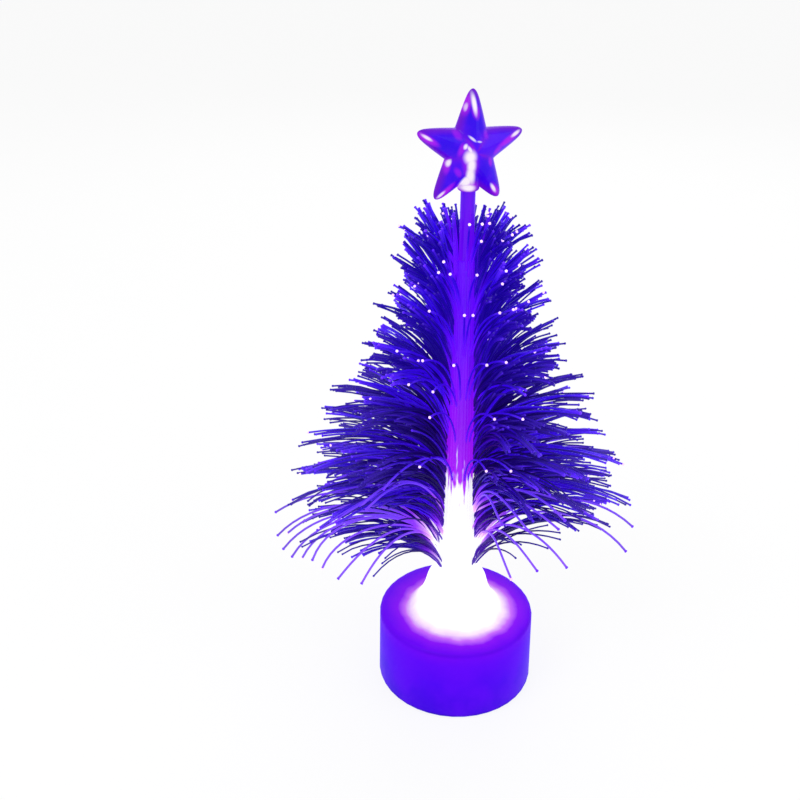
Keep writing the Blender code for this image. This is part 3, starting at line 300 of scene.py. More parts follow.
class Look:
    """One node material. Each method adds a node and gives its output socket."""

    def __init__(self, name, roughness, **constants):
        self.material = bpy.data.materials.new(name)
        self.material.use_nodes = True
        self.tree = self.material.node_tree
        self.shader = self.tree.nodes["Principled BSDF"]
        self.shader.inputs["Roughness"].default_value = roughness
        for socket, value in constants.items():
            self.shader.inputs[socket.replace("_", " ")].default_value = value

    def node(self, kind, inputs, **settings):
        node = self.tree.nodes.new(kind)
        for key, value in settings.items():
            setattr(node, key, value)
        for key, value in inputs.items():
            self.feed(node.inputs[key], value)
        return node

    def feed(self, socket, value):
        if isinstance(value, bpy.types.NodeSocket):
            self.tree.links.new(value, socket)
        else:
            socket.default_value = value

    def set(self, **inputs):
        """Feeds the shader's sockets, and gives the finished material."""
        for socket, value in inputs.items():
            self.feed(self.shader.inputs[socket.replace("_", " ")], value)
        return self.material

    def place(self):
        return self.node("ShaderNodeTexCoord", {}).outputs["Object"]

    def height(self):
        return self.node("ShaderNodeSeparateXYZ", {0: self.place()}).outputs["Z"]

    def attribute(self, name):
        return self.node("ShaderNodeAttribute", {}, attribute_name=name).outputs["Fac"]

    def vector(self, operation, first, second):
        return self.node("ShaderNodeVectorMath", {0: first, 1: second}, operation=operation).outputs[0]

    def length(self, vector):
        return self.node("ShaderNodeVectorMath", {0: vector}, operation="LENGTH").outputs["Value"]

    def radius(self, centre=(0.0, 0.0, 0.0), axes=(1.0, 1.0, 0.0)):
        """Distance from a point. Each axis counts with its own share."""
        moved = self.vector("SUBTRACT", self.place(), centre)
        return self.length(self.vector("MULTIPLY", moved, axes))

    def math(self, operation, first, second):
        return self.node("ShaderNodeMath", {0: first, 1: second}, operation=operation).outputs[0]

    def times(self, first, second):
        return self.math("MULTIPLY", first, second)

    def rest(self, value):
        """What is missing from 1."""
        return self.math("SUBTRACT", 1.0, value)

    def span(self, value, low, high):
        """0 at low, 1 at high, smooth between them."""
        return self.node(
            "ShaderNodeMapRange", {"Value": value, "From Min": low, "From Max": high},
            interpolation_type="SMOOTHSTEP",
        ).outputs["Result"]

    def fade(self, value, low, high):
        """1 at low, 0 at high, smooth between them."""
        return self.rest(self.span(value, low, high))

    def ramp(self, value, *stops):
        """Colours along a value: each stop is (place from 0 to 1, colour)."""
        node = self.node("ShaderNodeValToRGB", {0: value})
        ramp = node.color_ramp
        while len(ramp.elements) < len(stops):
            ramp.elements.new(1.0)
        for element, (place, colour) in zip(ramp.elements, stops):
            element.position = place
            element.color = colour
        return node.outputs["Color"]

    def mix(self, share, first, second):
        return self.node("ShaderNodeMix", {0: share, 6: first, 7: second}, data_type="RGBA").outputs[2]

    def noise(self, scale, detail=2.0, stretch=(1.0, 1.0, 1.0)):
        placed = self.vector("MULTIPLY", self.place(), stretch)
        return self.node(
            "ShaderNodeTexNoise", {"Vector": placed, "Scale": scale, "Detail": detail}
        ).outputs["Fac"]

    def bump(self, height, distance, strength):
        return self.node(
            "ShaderNodeBump", {"Height": height, "Distance": distance, "Strength": strength}
        ).outputs["Normal"]


# Camera, light and floor

def camera_and_lights():
    data = bpy.data.cameras.new("camera")
    data.lens = CAMERA_LENS
    data.sensor_width = CAMERA_SENSOR
    data.clip_start = CAMERA_NEAR
    camera = bpy.data.objects.new("camera", data)
    camera.location = CAMERA_PLACE
    camera.rotation_euler = [math.radians(angle) for angle in CAMERA_ANGLES]
    bpy.context.scene.collection.objects.link(camera)
    bpy.context.scene.camera = camera
    for name, place, size, power in LAMPS:
        lamp = bpy.data.lights.new(name, "AREA")
        lamp.size = size
        lamp.energy = power
        holder = bpy.data.objects.new(name, lamp)
        holder.location = place
        aim = Vector(LAMP_TARGET) - holder.location
        holder.rotation_euler = aim.to_track_quat("-Z", "Y").to_euler()
        bpy.context.scene.collection.objects.link(holder)


def seen_directly(tree):
    """1 where the camera, a reflection or clear plastic looks at the background."""
    path = tree.nodes.new("ShaderNodeLightPath")
    total = path.outputs["Is Camera Ray"]
    for name in ("Is Glossy Ray", "Is Transmission Ray"):
        add = tree.nodes.new("ShaderNodeMath")
        add.operation = "MAXIMUM"
        tree.links.new(total, add.inputs[0])
        tree.links.new(path.outputs[name], add.inputs[1])
        total = add.outputs[0]
    return total


def make_world():
    """Soft light all round, in front of a background that looks plain white."""
    world = bpy.data.worlds.new("studio")
    bpy.context.scene.world = world
    world.use_nodes = True
    tree = world.node_tree
    soft = tree.nodes["Background"]
    soft.inputs["Color"].default_value = WHITE
    soft.inputs["Strength"].default_value = ROOM_STRENGTH
    white = tree.nodes.new("ShaderNodeBackground")
    white.inputs["Color"].default_value = WHITE
    white.inputs["Strength"].default_value = 1.0
    both = tree.nodes.new("ShaderNodeMixShader")
    tree.links.new(seen_directly(tree), both.inputs[0])
    tree.links.new(soft.outputs[0], both.inputs[1])
    tree.links.new(white.outputs[0], both.inputs[2])
    tree.links.new(both.outputs[0], tree.nodes["World Output"].inputs["Surface"])


def make_floor():
    bm = bmesh.new()
    bmesh.ops.create_grid(bm, x_segments=1, y_segments=1, size=FLOOR_SIZE)
    mesh = bpy.data.meshes.new("floor")
    bm.to_mesh(mesh)
    bm.free()
    floor = bpy.data.objects.new("floor", mesh)
    bpy.context.scene.collection.objects.link(floor)
    look = Look("floor_white", 0.75)
    grain = look.noise(40.0)
    look.set(Base_Color=look.mix(grain, srgb(246, 246, 247), srgb(250, 250, 250)))
    glow = look.node("ShaderNodeEmission", {"Color": WHITE, "Strength": 1.0})
    share = look.times(seen_directly(look.tree), FLOOR_GLOW_SHARE)
    joined = look.node("ShaderNodeMixShader", {0: share, 1: look.shader.outputs[0], 2: glow.outputs[0]})
    look.feed(look.tree.nodes["Material Output"].inputs["Surface"], joined.outputs[0])
    mesh.materials.append(look.material)


# Materials

def lit_colours(look, colour, answering_share, **more):
    """A lit surface glows in its colour, and a share of that colour answers the light in the room."""
    return look.set(
        Base_Color=look.mix(answering_share, BLACK, colour), Emission_Color=colour, **more
    )


def base_look():
    """Milky plastic, lit from inside: white round the neck, violet on the deck's rim and the side."""
    look = Look("base_milky", 0.42, Specular_IOR_Level=0.02)
    uneven = look.times(look.math("SUBTRACT", look.noise(260.0), 0.5), 0.0016)
    reach = look.math("ADD", look.radius(centre=(0.0005, -0.0005, 0.0)), uneven)
    top = look.ramp(
        look.math("DIVIDE", reach, BASE_RADIUS),
        (0.50, WHITE), (0.60, srgb(242, 214, 255)), (0.68, srgb(202, 110, 252)),
        (0.77, srgb(138, 20, 246)), (0.93, srgb(106, 8, 245)),
    )
    side = look.ramp(
        look.math("DIVIDE", look.height(), BASE_HEIGHT),
        (0.0, srgb(40, 4, 160)), (0.08, srgb(66, 4, 228)), (0.50, srgb(78, 4, 243)),
        (0.80, srgb(92, 5, 247)), (0.93, srgb(108, 6, 246)), (1.0, srgb(80, 3, 216)),
    )
    cloud = look.span(look.noise(140.0, 3.0), 0.35, 0.68)
    side = look.mix(look.times(cloud, 0.55), side, srgb(100, 6, 250))
    colour = look.mix(look.span(look.radius(), 0.0151, 0.0157), top, side)
    grain = look.bump(look.noise(2600.0), 0.00004, 0.35)
    glare = look.fade(reach, 0.0074, 0.0104)
    strength = look.math("ADD", 0.62, look.times(glare, 0.36))
    return lit_colours(look, colour, 0.40, Emission_Strength=strength, Normal=grain)


def fibre_look():
    """Plastic fibre: violet by the stem, blue further out, white and pink near the lamp."""
    look = Look("fibre_lit", 0.3, Emission_Strength=0.6, Specular_IOR_Level=0.15)
    along = look.attribute("along")
    bright = look.attribute("bright")
    dark_low = look.ramp(
        along,
        (0.0, srgb(18, 0, 84)), (0.4, srgb(11, 0, 54)), (0.75, srgb(23, 5, 96)), (1.0, srgb(54, 30, 152)),
    )
    dark_high = look.ramp(
        along, (0.0, srgb(30, 2, 168)), (0.8, srgb(22, 2, 138)), (1.0, srgb(36, 8, 160))
    )
    dark = look.mix(look.span(look.height(), 0.058, 0.088), dark_low, dark_high)
    lit = look.ramp(
        along,
        (0.0, srgb(102, 14, 255)), (0.3, srgb(66, 6, 248)), (0.85, srgb(52, 6, 218)),
        (1.0, srgb(92, 40, 250)),
    )
    colour = look.mix(bright, dark, lit)
    close = look.fade(look.radius(), 0.0022, 0.0052)
    colour = look.mix(look.times(close, bright), colour, srgb(122, 14, 252))
    low = look.fade(look.height(), 0.040, 0.060)
    shining = look.times(look.span(bright, 0.80, 0.92), low)
    colour = look.mix(look.times(shining, 0.5), colour, srgb(164, 98, 255))
    pale = look.span(look.radius(), 0.0250, 0.0375)
    colour = look.mix(look.times(pale, 0.6), colour, srgb(80, 66, 140))
    from_lamp = look.radius(centre=(0.0, 0.0, 0.0290), axes=(1.0, 1.0, 0.62))
    from_lamp = look.times(from_lamp, look.rest(look.times(shining, 0.35)))
    glow = look.ramp(
        look.math("DIVIDE", from_lamp, 0.020),
        (0.20, WHITE), (0.27, srgb(232, 170, 255)), (0.36, srgb(166, 52, 250)), (0.7, srgb(96, 16, 250)),
    )
    glow = look.mix(look.span(bright, 0.0, 0.45), srgb(104, 14, 236), glow)
    share = look.fade(from_lamp, 0.0046, 0.0110)
    colour = look.mix(look.times(share, look.span(bright, -0.5, 0.9)), colour, glow)
    return lit_colours(look, colour, 0.7)


def tip_look():
    """A fibre's end: a bright point on some, and the fibre's own colour on the rest."""
    look = Look("fibre_end", 0.2, Emission_Strength=0.9, Specular_IOR_Level=0.2)
    plain = look.mix(look.attribute("bright"), srgb(30, 6, 120), srgb(92, 34, 252))
    varied = look.mix(look.noise(700.0), srgb(196, 140, 255), srgb(255, 222, 255))
    colour = look.mix(look.attribute("spark"), plain, varied)
    return look.set(Base_Color=colour, Emission_Color=colour)


def stem_look():
    """The bundled fibres: white from the lamp up, then streaks that thin out into violet."""
    look = Look("stem_lit", 0.3, Emission_Strength=0.75, Specular_IOR_Level=0.2)
    streak = look.noise(1500.0, stretch=(1.0, 1.0, 0.03))
    blotch = look.noise(1100.0, stretch=(1.0, 1.0, 0.22))
    uneven = look.math("SUBTRACT", look.math("ADD", streak, blotch), 1.0)
    level = look.math("ADD", look.height(), look.times(uneven, 0.020))
    whiteness = look.fade(level, 0.0450, 0.0500)
    violet = look.ramp(
        look.math("DIVIDE", look.height(), 0.105),
        (0.44, srgb(184, 34, 252)), (0.56, srgb(160, 20, 252)), (0.70, srgb(114, 10, 252)),
        (1.0, srgb(94, 8, 246)),
    )
    darker = look.mix(0.28, violet, srgb(60, 4, 210))
    violet = look.mix(look.span(streak, 0.3, 0.75), darker, violet)
    return lit_colours(look, look.mix(whiteness, violet, WHITE), 0.35)


def rod_look():
    """Clear rod with faint streaks along it."""
    look = Look("rod_clear", 0.08, Emission_Strength=0.78, Specular_IOR_Level=0.12)
    streak = look.noise(900.0, stretch=(1.0, 1.0, 0.05))
    colour = look.mix(look.span(streak, 0.3, 0.7), srgb(88, 6, 240), srgb(120, 12, 250))
    return lit_colours(look, colour, 0.2)


def lamp_look():
    look = Look("lamp_lit", 0.08, Emission_Strength=1.2, Transmission_Weight=0.3)
    colour = look.mix(look.noise(500.0), srgb(236, 222, 255), srgb(255, 250, 255))
    return look.set(Base_Color=colour, Emission_Color=colour)


def painted_light_ovals(look, *places):
    """Painted light: the highest of some soft ovals, each (across, up, half length, half width, turn,
    strength).
    """
    total = 0.0
    for across, up, length, width, turn, strength in places:
        mapped = look.node(
            "ShaderNodeMapping",
            {
                "Vector": look.vector("MULTIPLY", look.place(), (1.0, 0.0, 1.0)),
                "Location": (across, 0.0, up),
                "Rotation": (0.0, math.radians(-turn), 0.0),
                "Scale": (length, 1.0, width),
            },
            vector_type="TEXTURE",
        ).outputs[0]
        oval = look.times(look.fade(look.length(mapped), 0.35, 1.3), strength)
        total = oval if total == 0.0 else look.math("MAXIMUM", total, oval)
    return total


def star_look():
    """Clear puffed plastic filled with blue-violet light, with painted highlights: white and magenta
    glints and reflections near the arms' tips, and a painted white hot spot at the rod's end.
    """
    look = Look("star_clear", 0.12, Emission_Strength=0.72, Specular_IOR_Level=0.09)
    swirl = look.noise(230.0, 3.0)
    body = look.mix(look.span(swirl, 0.35, 0.65), srgb(54, 4, 238), srgb(84, 8, 250))
    body = look.mix(look.attribute("edge"), body, srgb(112, 14, 206))
    body = look.mix(look.attribute("valley"), body, srgb(122, 12, 226))
    # Painted light: magenta glints and glow, then white glints, reflections and the rod's hot spot
    body = look.mix(painted_light_ovals(look, *STAR_PAINTED_MAGENTA_LIGHT), body, srgb(180, 30, 244))
    body = look.mix(painted_light_ovals(look, *STAR_PAINTED_WHITE_LIGHT), body, srgb(255, 244, 255))
    return lit_colours(look, body, 0.26, Normal=look.bump(swirl, 0.0002, 0.15))


def plain_look(name, low, high, roughness, scale, bump_distance, **constants):
    """A plain finish whose colour, roughness and surface vary a little."""
    look = Look(name, roughness, **constants)
    cloud = look.noise(scale, 3.0)
    fine = look.noise(scale * 9)
    rough = look.math("ADD", roughness - 0.06, look.times(cloud, 0.12))
    surface = look.bump(fine, bump_distance, 0.4)
    return look.set(Base_Color=look.mix(cloud, low, high), Roughness=rough, Normal=surface)


def brushed_look(name, low, high, roughness):
    """Stamped metal with fine marks round its axis."""
    look = Look(name, roughness, Metallic=1.0)
    marks = look.noise(1500.0, 3.0, stretch=(1.0, 1.0, 6.0))
    stain = look.noise(300.0, 3.0)
    rough = look.math("ADD", roughness - 0.08, look.times(marks, 0.16))
    surface = look.bump(marks, 0.00002, 0.3)
    return look.set(Base_Color=look.mix(stain, low, high), Roughness=rough, Normal=surface)


# Mesh helpers

def new_piece(name, points, faces):
    """A smooth-shaded mesh object."""
    mesh = bpy.data.meshes.new(name)
    mesh.from_pydata([tuple(point) for point in points], [], [tuple(face) for face in faces])
    mesh.polygons.foreach_set("use_smooth", [True] * len(mesh.polygons))
    obj = bpy.data.objects.new(name, mesh)
    bpy.context.scene.collection.objects.link(obj)
    return obj


def add_attribute(mesh, name, values):
    mesh.attributes.new(name, "FLOAT", "POINT").data.foreach_set("value", np.asarray(values, np.float32))


def ring_faces(first, second, sides):
    """Quads between two rings of points that start at these indices."""
    return [
        (first + side, first + (side + 1) % sides, second + (side + 1) % sides, second + side)
        for side in range(sides)
    ]


# Stem and fibres

def stem_radius(height):
    share = (height - STEM_LOW) / (STEM_TOP - STEM_LOW)
    return STEM_FOOT_RADIUS + (STEM_TOP_RADIUS - STEM_FOOT_RADIUS) * min(max(share, 0.0), 1.0)


def fluted_stem(bottom, top, points, faces):
    """One slice of the bundle: a tube whose outside shows its fibres side by side."""
    steps = max(2, round((top - bottom) / STEM_STEP))
    sides = STEM_FLUTES * FLUTE_SIDES

    def ring(height, bore):
        start = len(points)
        for side in range(sides):
            angle = math.tau * side / sides
            flute = STEM_FLUTE * (abs(math.sin(math.pi * side / FLUTE_SIDES)) - 0.5)
            reach = STEM_BORE if bore else stem_radius(height) + flute
            points.append((reach * math.cos(angle), reach * math.sin(angle), height))
        return start

    outside = [ring(bottom + (top - bottom) * step / steps, False) for step in range(steps + 1)]
    for low, high in zip(outside, outside[1:]):
        faces.extend(ring_faces(low, high, sides))
    # The ends and the bore have points of their own, so that the outside's shading stays its own
    faces.extend(ring_faces(ring(top, False), ring(top, True), sides))
    faces.extend(ring_faces(ring(top, True), ring(bottom, True), sides))
    faces.extend(ring_faces(ring(bottom, True), ring(bottom, False), sides))


def from_front(turn):
    """Angle from the front to a direction: negative on the left, positive on the right."""
    return (turn + math.pi / 2 + math.pi) % math.tau - math.pi


def from_degrees(degrees):
    """Direction that lies this many degrees to the right of the front."""
    return math.radians(degrees - 90.0)


def greatest_reach(turn):
    return float(np.interp(abs(from_front(turn)), FRONT_ANGLES, FRONT_REACHES))


def root_shift(turn):
    """How far round from its end's direction a fibre leaves the stem."""
    front = from_front(turn)
    return math.copysign(max(0.0, LEAST_ROOT_ANGLE - abs(front)), front)


def row_between(rows, place):
    """Values of a row, or of a place between two rows."""
    place = min(max(place, 0.0), len(rows) - 1.001)
    share = place - int(place)
    return [a + (b - a) * share for a, b in zip(rows[int(place)], rows[int(place) + 1])]


def heading(degrees):
    """Direction in the upright plane: 0 is straight out, 90 straight up."""
    angle = math.radians(degrees)
    return Vector((math.cos(angle), math.sin(angle)))


def curve_point(start, first, last, end, t):
    """Point of a cubic curve with these four control points, for t from 0 to 1."""
    return start * (1 - t) ** 3 + first * 3 * t * (1 - t) ** 2 + last * 3 * t**2 * (1 - t) + end * t**3


class Tuft:
    """Fibres that leave the stem together and end side by side. Its first fibre is its middle one.

    An arch has its own shape in place of a row's. A forward fibre has a brightness of its own and no
    shape.
    """

    def __init__(
        self, tier, turn, place, upto, tight=0.0, fibres=1, lit=False, brightness=None, shape=None
    ):
        self.tier = tier
        self.turn = turn
        self.place = place
        self.upto = upto
        self.tight = tight
        self.fibres = fibres
        self.lit = lit
        self.brightness = brightness
        self.shape = shape
        self.forward = brightness is not None and shape is None

    def side_curve(self, chance, stray):
        """Four control points of a fibre in the upright plane, each (reach, height)."""
        exit_height, zone, _, _, rows = TIERS[self.tier]
        place = self.place + stray * chance.uniform(-ROW_STRAY, ROW_STRAY)
        reach, rise, leaving, ending = self.shape or row_between(rows, place)
        height = exit_height - ROW_STEP * (EXIT_ROW - self.place)
        height -= stray * zone * chance.random() ** ROOT_POWER
        start = Vector((stem_radius(height) - LIT_RADIUS, height))
        reach *= FAN_REACH * (1.0 + stray * chance.uniform(*REACH_STRAYS))
        if not self.shape:
            reach = min(reach, greatest_reach(self.turn))
        if self.forward:
            reach *= FORWARD_REACH_SHARE
        rise += stray * chance.uniform(-RISE_STRAY, RISE_STRAY)
        end = Vector((reach, exit_height + FAN_RISE * rise))
        leaving = heading(leaving + stray * chance.uniform(-LEAVING_STRAY, LEAVING_STRAY))
        ending = heading(ending + stray * chance.uniform(-ENDING_STRAY, ENDING_STRAY))
        leaving_share, ending_share = ARC_BEND_SHARES if self.shape else FAN_BEND_SHARES
        span = (end - start).length
        return start, start + leaving * span * leaving_share, end - ending * span * ending_share, end

    def line(self, chance, stray):
        """The middle line of a fibre, from inside the stem out. Stray is 0 for the tuft's middle fibre."""
        curve = self.side_curve(chance, stray)
        upto = self.upto * (1.0 - stray * LENGTH_STRAY * chance.random())
        wide = stray * chance.uniform(-ROOT_TURN_STRAY, ROOT_TURN_STRAY)
        if not self.forward:
            wide += root_shift(self.turn)
        apart = stray * chance.uniform(-self.tight, self.tight)
        count = ARC_POINTS if self.shape else FIBRE_POINTS
        line = []
        for step in range(count):
            t = upto * step / (count - 1)
            flat = curve_point(*curve, t)
            angle = self.turn + wide * (1 - t) ** 2 + apart * t
            line.append((flat.x * math.cos(angle), flat.x * math.sin(angle), flat.y))
        line = np.array(line)
        root = line[0] - (line[1] - line[0]) / np.linalg.norm(line[1] - line[0]) * FIBRE_ROOT
        return np.vstack([root, line])


def is_thinned(tier, front):
    return tier < len(THIN_SPANS) and THIN_SPANS[tier][0] < front < THIN_SPANS[tier][1]


def row_tuft(tier, row, turn, chance):
    """A tuft of a tier's row, towards one direction."""
    top = len(TIERS[tier][-1]) - 1
    upto = 1.0 - (1.0 - SHORTEST_SHARE) * chance.random()
    front = from_front(turn)
    beside_stem = row == top and abs(front) < BESIDE_STEM
    lit = chance.random() < (LIT_BESIDE_STEM_SHARE if beside_stem else LIT_TUFT_SHARES[row])
    fibres = chance.randint(*TUFT_FIBRES)
    if is_thinned(tier, front):
        lit = False
        fibres = chance.randint(*THIN_TUFT_FIBRES)
        fibres = min(fibres, row) if front > 0 else fibres
        upto *= THIN_LENGTH_SHARE
    return Tuft(tier, turn, row, upto, chance.uniform(*TUFT_SPREADS), fibres, lit)


def tier_tufts(tier, chance):
    """The tufts of a tier, its single fibres, its arching fibres and those that come forward."""
    _, _, count, single_count, rows = TIERS[tier]
    span = math.tau - (GAP_RIGHT - GAP_LEFT)
    tufts = []
    for row in range(len(rows)):
        offset = (row + 0.5) / len(rows) + (tier * TIER_TURN_SHARE + 0.5) % 1.0 - 0.5
        for index in range(count):
            turn = GAP_RIGHT + span * (index + offset) / count
            tufts.append(row_tuft(tier, row, turn, chance))
    for _ in range(single_count):
        turn = GAP_RIGHT + span * chance.uniform(-SINGLE_OVERRUN, 1.0 + SINGLE_OVERRUN)
        upto = chance.uniform(*SINGLE_LENGTHS)
        place = chance.uniform(0.0, len(rows) - 1)
        if not (is_thinned(tier, from_front(turn)) and from_front(turn) > 0):
            tufts.append(Tuft(tier, turn, place, upto, SINGLE_SPREAD))
    for degrees, *shape in ARCS[tier]:
        turn = from_degrees(degrees)
        tufts.append(Tuft(tier, turn, ARC_ROW, 1.0, brightness=ARC_BRIGHTNESS, shape=shape))
    for row, directions in FRONT_FIBRES[tier]:
        for degrees in directions:
            turn = from_degrees(degrees)
            tufts.append(Tuft(tier, turn, row, FORWARD_LENGTH, brightness=FORWARD_BRIGHTNESS))
    return tufts


def fibre_rings(line, radius, sides):
    """Rings of points along a fibre, whose end swells a little."""
    ahead = line[-1] - line[-2]
    ahead /= np.linalg.norm(ahead)
    end_centres = [line[-1] + ahead * TIP_LENGTH * share for share in TIP_PLACE_SHARES]
    centres = np.vstack([line, *end_centres])
    tangents = np.gradient(centres, axis=0)
    tangents /= np.linalg.norm(tangents, axis=1)[:, None]
    across = np.cross((0.0, 0.0, 1.0), centres * (1.0, 1.0, 0.0))
    across /= np.linalg.norm(across, axis=1)[:, None]
    over = np.cross(tangents, across)
    over /= np.linalg.norm(over, axis=1)[:, None]
    radii = np.full(len(centres), radius)
    radii[-TIP_RINGS:] *= TIP_RADIUS_SHARES
    angles = math.tau * np.arange(sides) / sides
    cosines, sines = np.cos(angles)[None, :, None], np.sin(angles)[None, :, None]
    ring = cosines * across[:, None, :] + sines * over[:, None, :]
    return centres[:, None, :] + ring * radii[:, None, None]


def fibre_brightness(chance, lit):
    """Most fibres of a lit tuft carry light. Of the others a few carry a little."""
    if chance.random() < (LIT_FIBRE_SHARE if lit else FAINT_FIBRE_SHARE):
        return chance.uniform(*(LIT_BRIGHTNESS if lit else FAINT_BRIGHTNESS))
    return DARK_BRIGHTNESS * chance.random()


class TierMesh:
    """Points, faces, material slots and painted values of one tier."""

    FIBRE, TIP, STEM = range(3)

    def __init__(self, bottom, top):
        self.points = []
        self.faces = []
        fluted_stem(bottom, top, self.points, self.faces)
        self.slots = [self.STEM] * len(self.faces)
        self.along = [0.0] * len(self.points)
        self.bright = [STEM_BRIGHTNESS] * len(self.points)
        self.spark = [0.0] * len(self.points)

    def add_fibre(self, rings, brightness, sparkles):
        count, sides, _ = rings.shape
        last_whole = count - TIP_RINGS
        start = len(self.points)
        for index, ring in enumerate(rings):
            self.points.extend(ring)
            self.along.extend([min(index / last_whole, 1.0)] * sides)
        self.bright.extend([brightness] * count * sides)
        self.spark.extend([float(sparkles)] * count * sides)
        self.faces.append(tuple(range(start + sides - 1, start - 1, -1)))
        self.slots.append(self.FIBRE)
        for index in range(count - 1):
            self.faces.extend(ring_faces(start + index * sides, start + (index + 1) * sides, sides))
            self.slots.extend([self.TIP if index >= last_whole else self.FIBRE] * sides)
        self.faces.append(tuple(range(len(self.points) - sides, len(self.points))))
        self.slots.append(self.TIP)

    def add_tuft(self, tuft, chance):
        for number in range(tuft.fibres):
            brightness = tuft.brightness or fibre_brightness(chance, tuft.lit)
            lit = brightness > DARK_BRIGHTNESS
            radius = ARC_RADIUS if tuft.shape else LIT_RADIUS if lit else DIM_RADIUS
            stray = float(tuft.brightness is None and (number > 0 or tuft.fibres == 1))
            rings = fibre_rings(tuft.line(chance, stray), radius, LIT_SIDES if lit else DIM_SIDES)
            sparkles = tuft.forward or (lit and chance.random() < BRIGHT_TIP_SHARE)
            self.add_fibre(rings, brightness, sparkles)


def make_tier(tier, chance, materials):
    """A tier's fibres and its slice of the stem, as one piece."""
    bottom = STEM_FOOT if tier == 0 else TIERS[tier - 1][0] + SLICE_LAP
    built = TierMesh(bottom, TIERS[tier][0] + SLICE_LAP)
    for tuft in tier_tufts(tier, chance):
        built.add_tuft(tuft, chance)
    piece = new_piece(f"fibres_{tier + 1}", built.points, built.faces)
    for material in materials:
        piece.data.materials.append(material)
    piece.data.polygons.foreach_set("material_index", built.slots)
    add_attribute(piece.data, "along", built.along)
    add_attribute(piece.data, "bright", built.bright)
    add_attribute(piece.data, "spark", built.spark)
    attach(piece, "tree")
    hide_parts(f"fibre_tier_{tier + 1}")


# Star

def star_outline(steps):
    """Reach of the star's edge at evenly spaced angles: straight-sided arms with rounded tips."""
    corners = []
    for arm in range(STAR_ARMS):
        middle = math.tau * arm / STAR_ARMS
        for forward, aside in STAR_ARM_SHARES:
            corners.append(complex(forward, aside) * complex(math.cos(middle), math.sin(middle)))
        notch = middle + math.pi / STAR_ARMS
        corners.append(STAR_NOTCH_SHARE * complex(math.cos(notch), math.sin(notch)))
    corners = np.array(corners)
    shares = np.linspace(0.0, 1.0, STAR_EDGE_POINTS, endpoint=False)[None, :]
    edge = (corners[:, None] * (1 - shares) + np.roll(corners, -1)[:, None] * shares).ravel()
    angles = np.unwrap(np.angle(edge))
    even = np.arange(steps) * math.tau / steps
    wide = np.concatenate([angles - math.tau, angles, angles + math.tau])
    fine = np.interp(even, wide, np.tile(np.abs(edge), 3))
    kernel = np.hanning(STAR_ROUNDING)
    kernel /= kernel.sum()
    half = STAR_ROUNDING // 2
    padded = np.concatenate([fine[-half:], fine, fine[:half]])
    return even, np.convolve(padded, kernel, "valid") * STAR_RADIUS


def star_ring(share, side):
    """One ring of a puffed face, at a share of the way from its middle to its edge."""
    angles, reaches = star_outline(STAR_STEPS)
    middle_reach = float(np.mean(reaches))
    slab = math.sqrt(max(0.0, 1 - share**STAR_SLAB_POWER))
    depth = STAR_SLAB_SHARE * slab + STAR_PEAK_SHARE * (1 - share**STAR_PEAK_POWER)
    points = []
    for angle, reach in zip(angles, reaches):
        turned = angle + math.pi / 2
        out = share * (middle_reach + (reach - middle_reach) * share**STAR_OUTLINE_POWER)
        points.append((out * math.cos(turned), side * STAR_HALF * depth, out * math.sin(turned)))
    return points


def star_mesh():
    """Points and faces of the star's two puffed faces, which meet at its edge."""
    points = []
    faces = []
    for side in (-1.0, 1.0):
        first = len(points)
        points.append((0.0, side * STAR_HALF, 0.0))
        for row in range(1, STAR_ROWS + 1):
            points.extend(star_ring(math.sin(math.pi / 2 * row / STAR_ROWS), side))
        for index in range(STAR_STEPS):
            after = (index + 1) % STAR_STEPS
            strip = [(first, first + 1 + index, first + 1 + after)]
            for row in range(STAR_ROWS - 1):
                low, high = first + 1 + row * STAR_STEPS, first + 1 + (row + 1) * STAR_STEPS
                strip.append((low + index, high + index, high + after, low + after))
            faces.extend(strip if side > 0 else [face[::-1] for face in strip])
    return points, faces


def make_star(material):
    star = new_piece("star_clear", *star_mesh())
    bm = bmesh.new()
    bm.from_mesh(star.data)
    bmesh.ops.remove_doubles(bm, verts=bm.verts, dist=STAR_WELD)
    bmesh.ops.recalc_face_normals(bm, faces=bm.faces)
    bm.to_mesh(star.data)
    bm.free()
    star.rotation_euler = (0.0, math.radians(STAR_LEAN), math.radians(STAR_TURN))
    star.location = (0.0, 0.0, STAR_CENTRE)
    add_socket(star)
    paint_star(star)
    star.data.materials.append(material)
    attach(star, "tree")
    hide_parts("star")


def turned_helper(name, profile):
    """A closed solid of revolution from (radius, height) points, bottom to top."""
    points = []
    faces = []
    for radius, height in profile:
        for side in range(SOCKET_SIDES):
            angle = math.tau * side / SOCKET_SIDES
            points.append((radius * math.cos(angle), radius * math.sin(angle), height))
    for row in range(len(profile) - 1):
        faces.extend(ring_faces(row * SOCKET_SIDES, (row + 1) * SOCKET_SIDES, SOCKET_SIDES))
    faces.append(tuple(range(SOCKET_SIDES - 1, -1, -1)))
    faces.append(tuple(range(len(points) - SOCKET_SIDES, len(points))))
    return new_piece(name, points, faces)


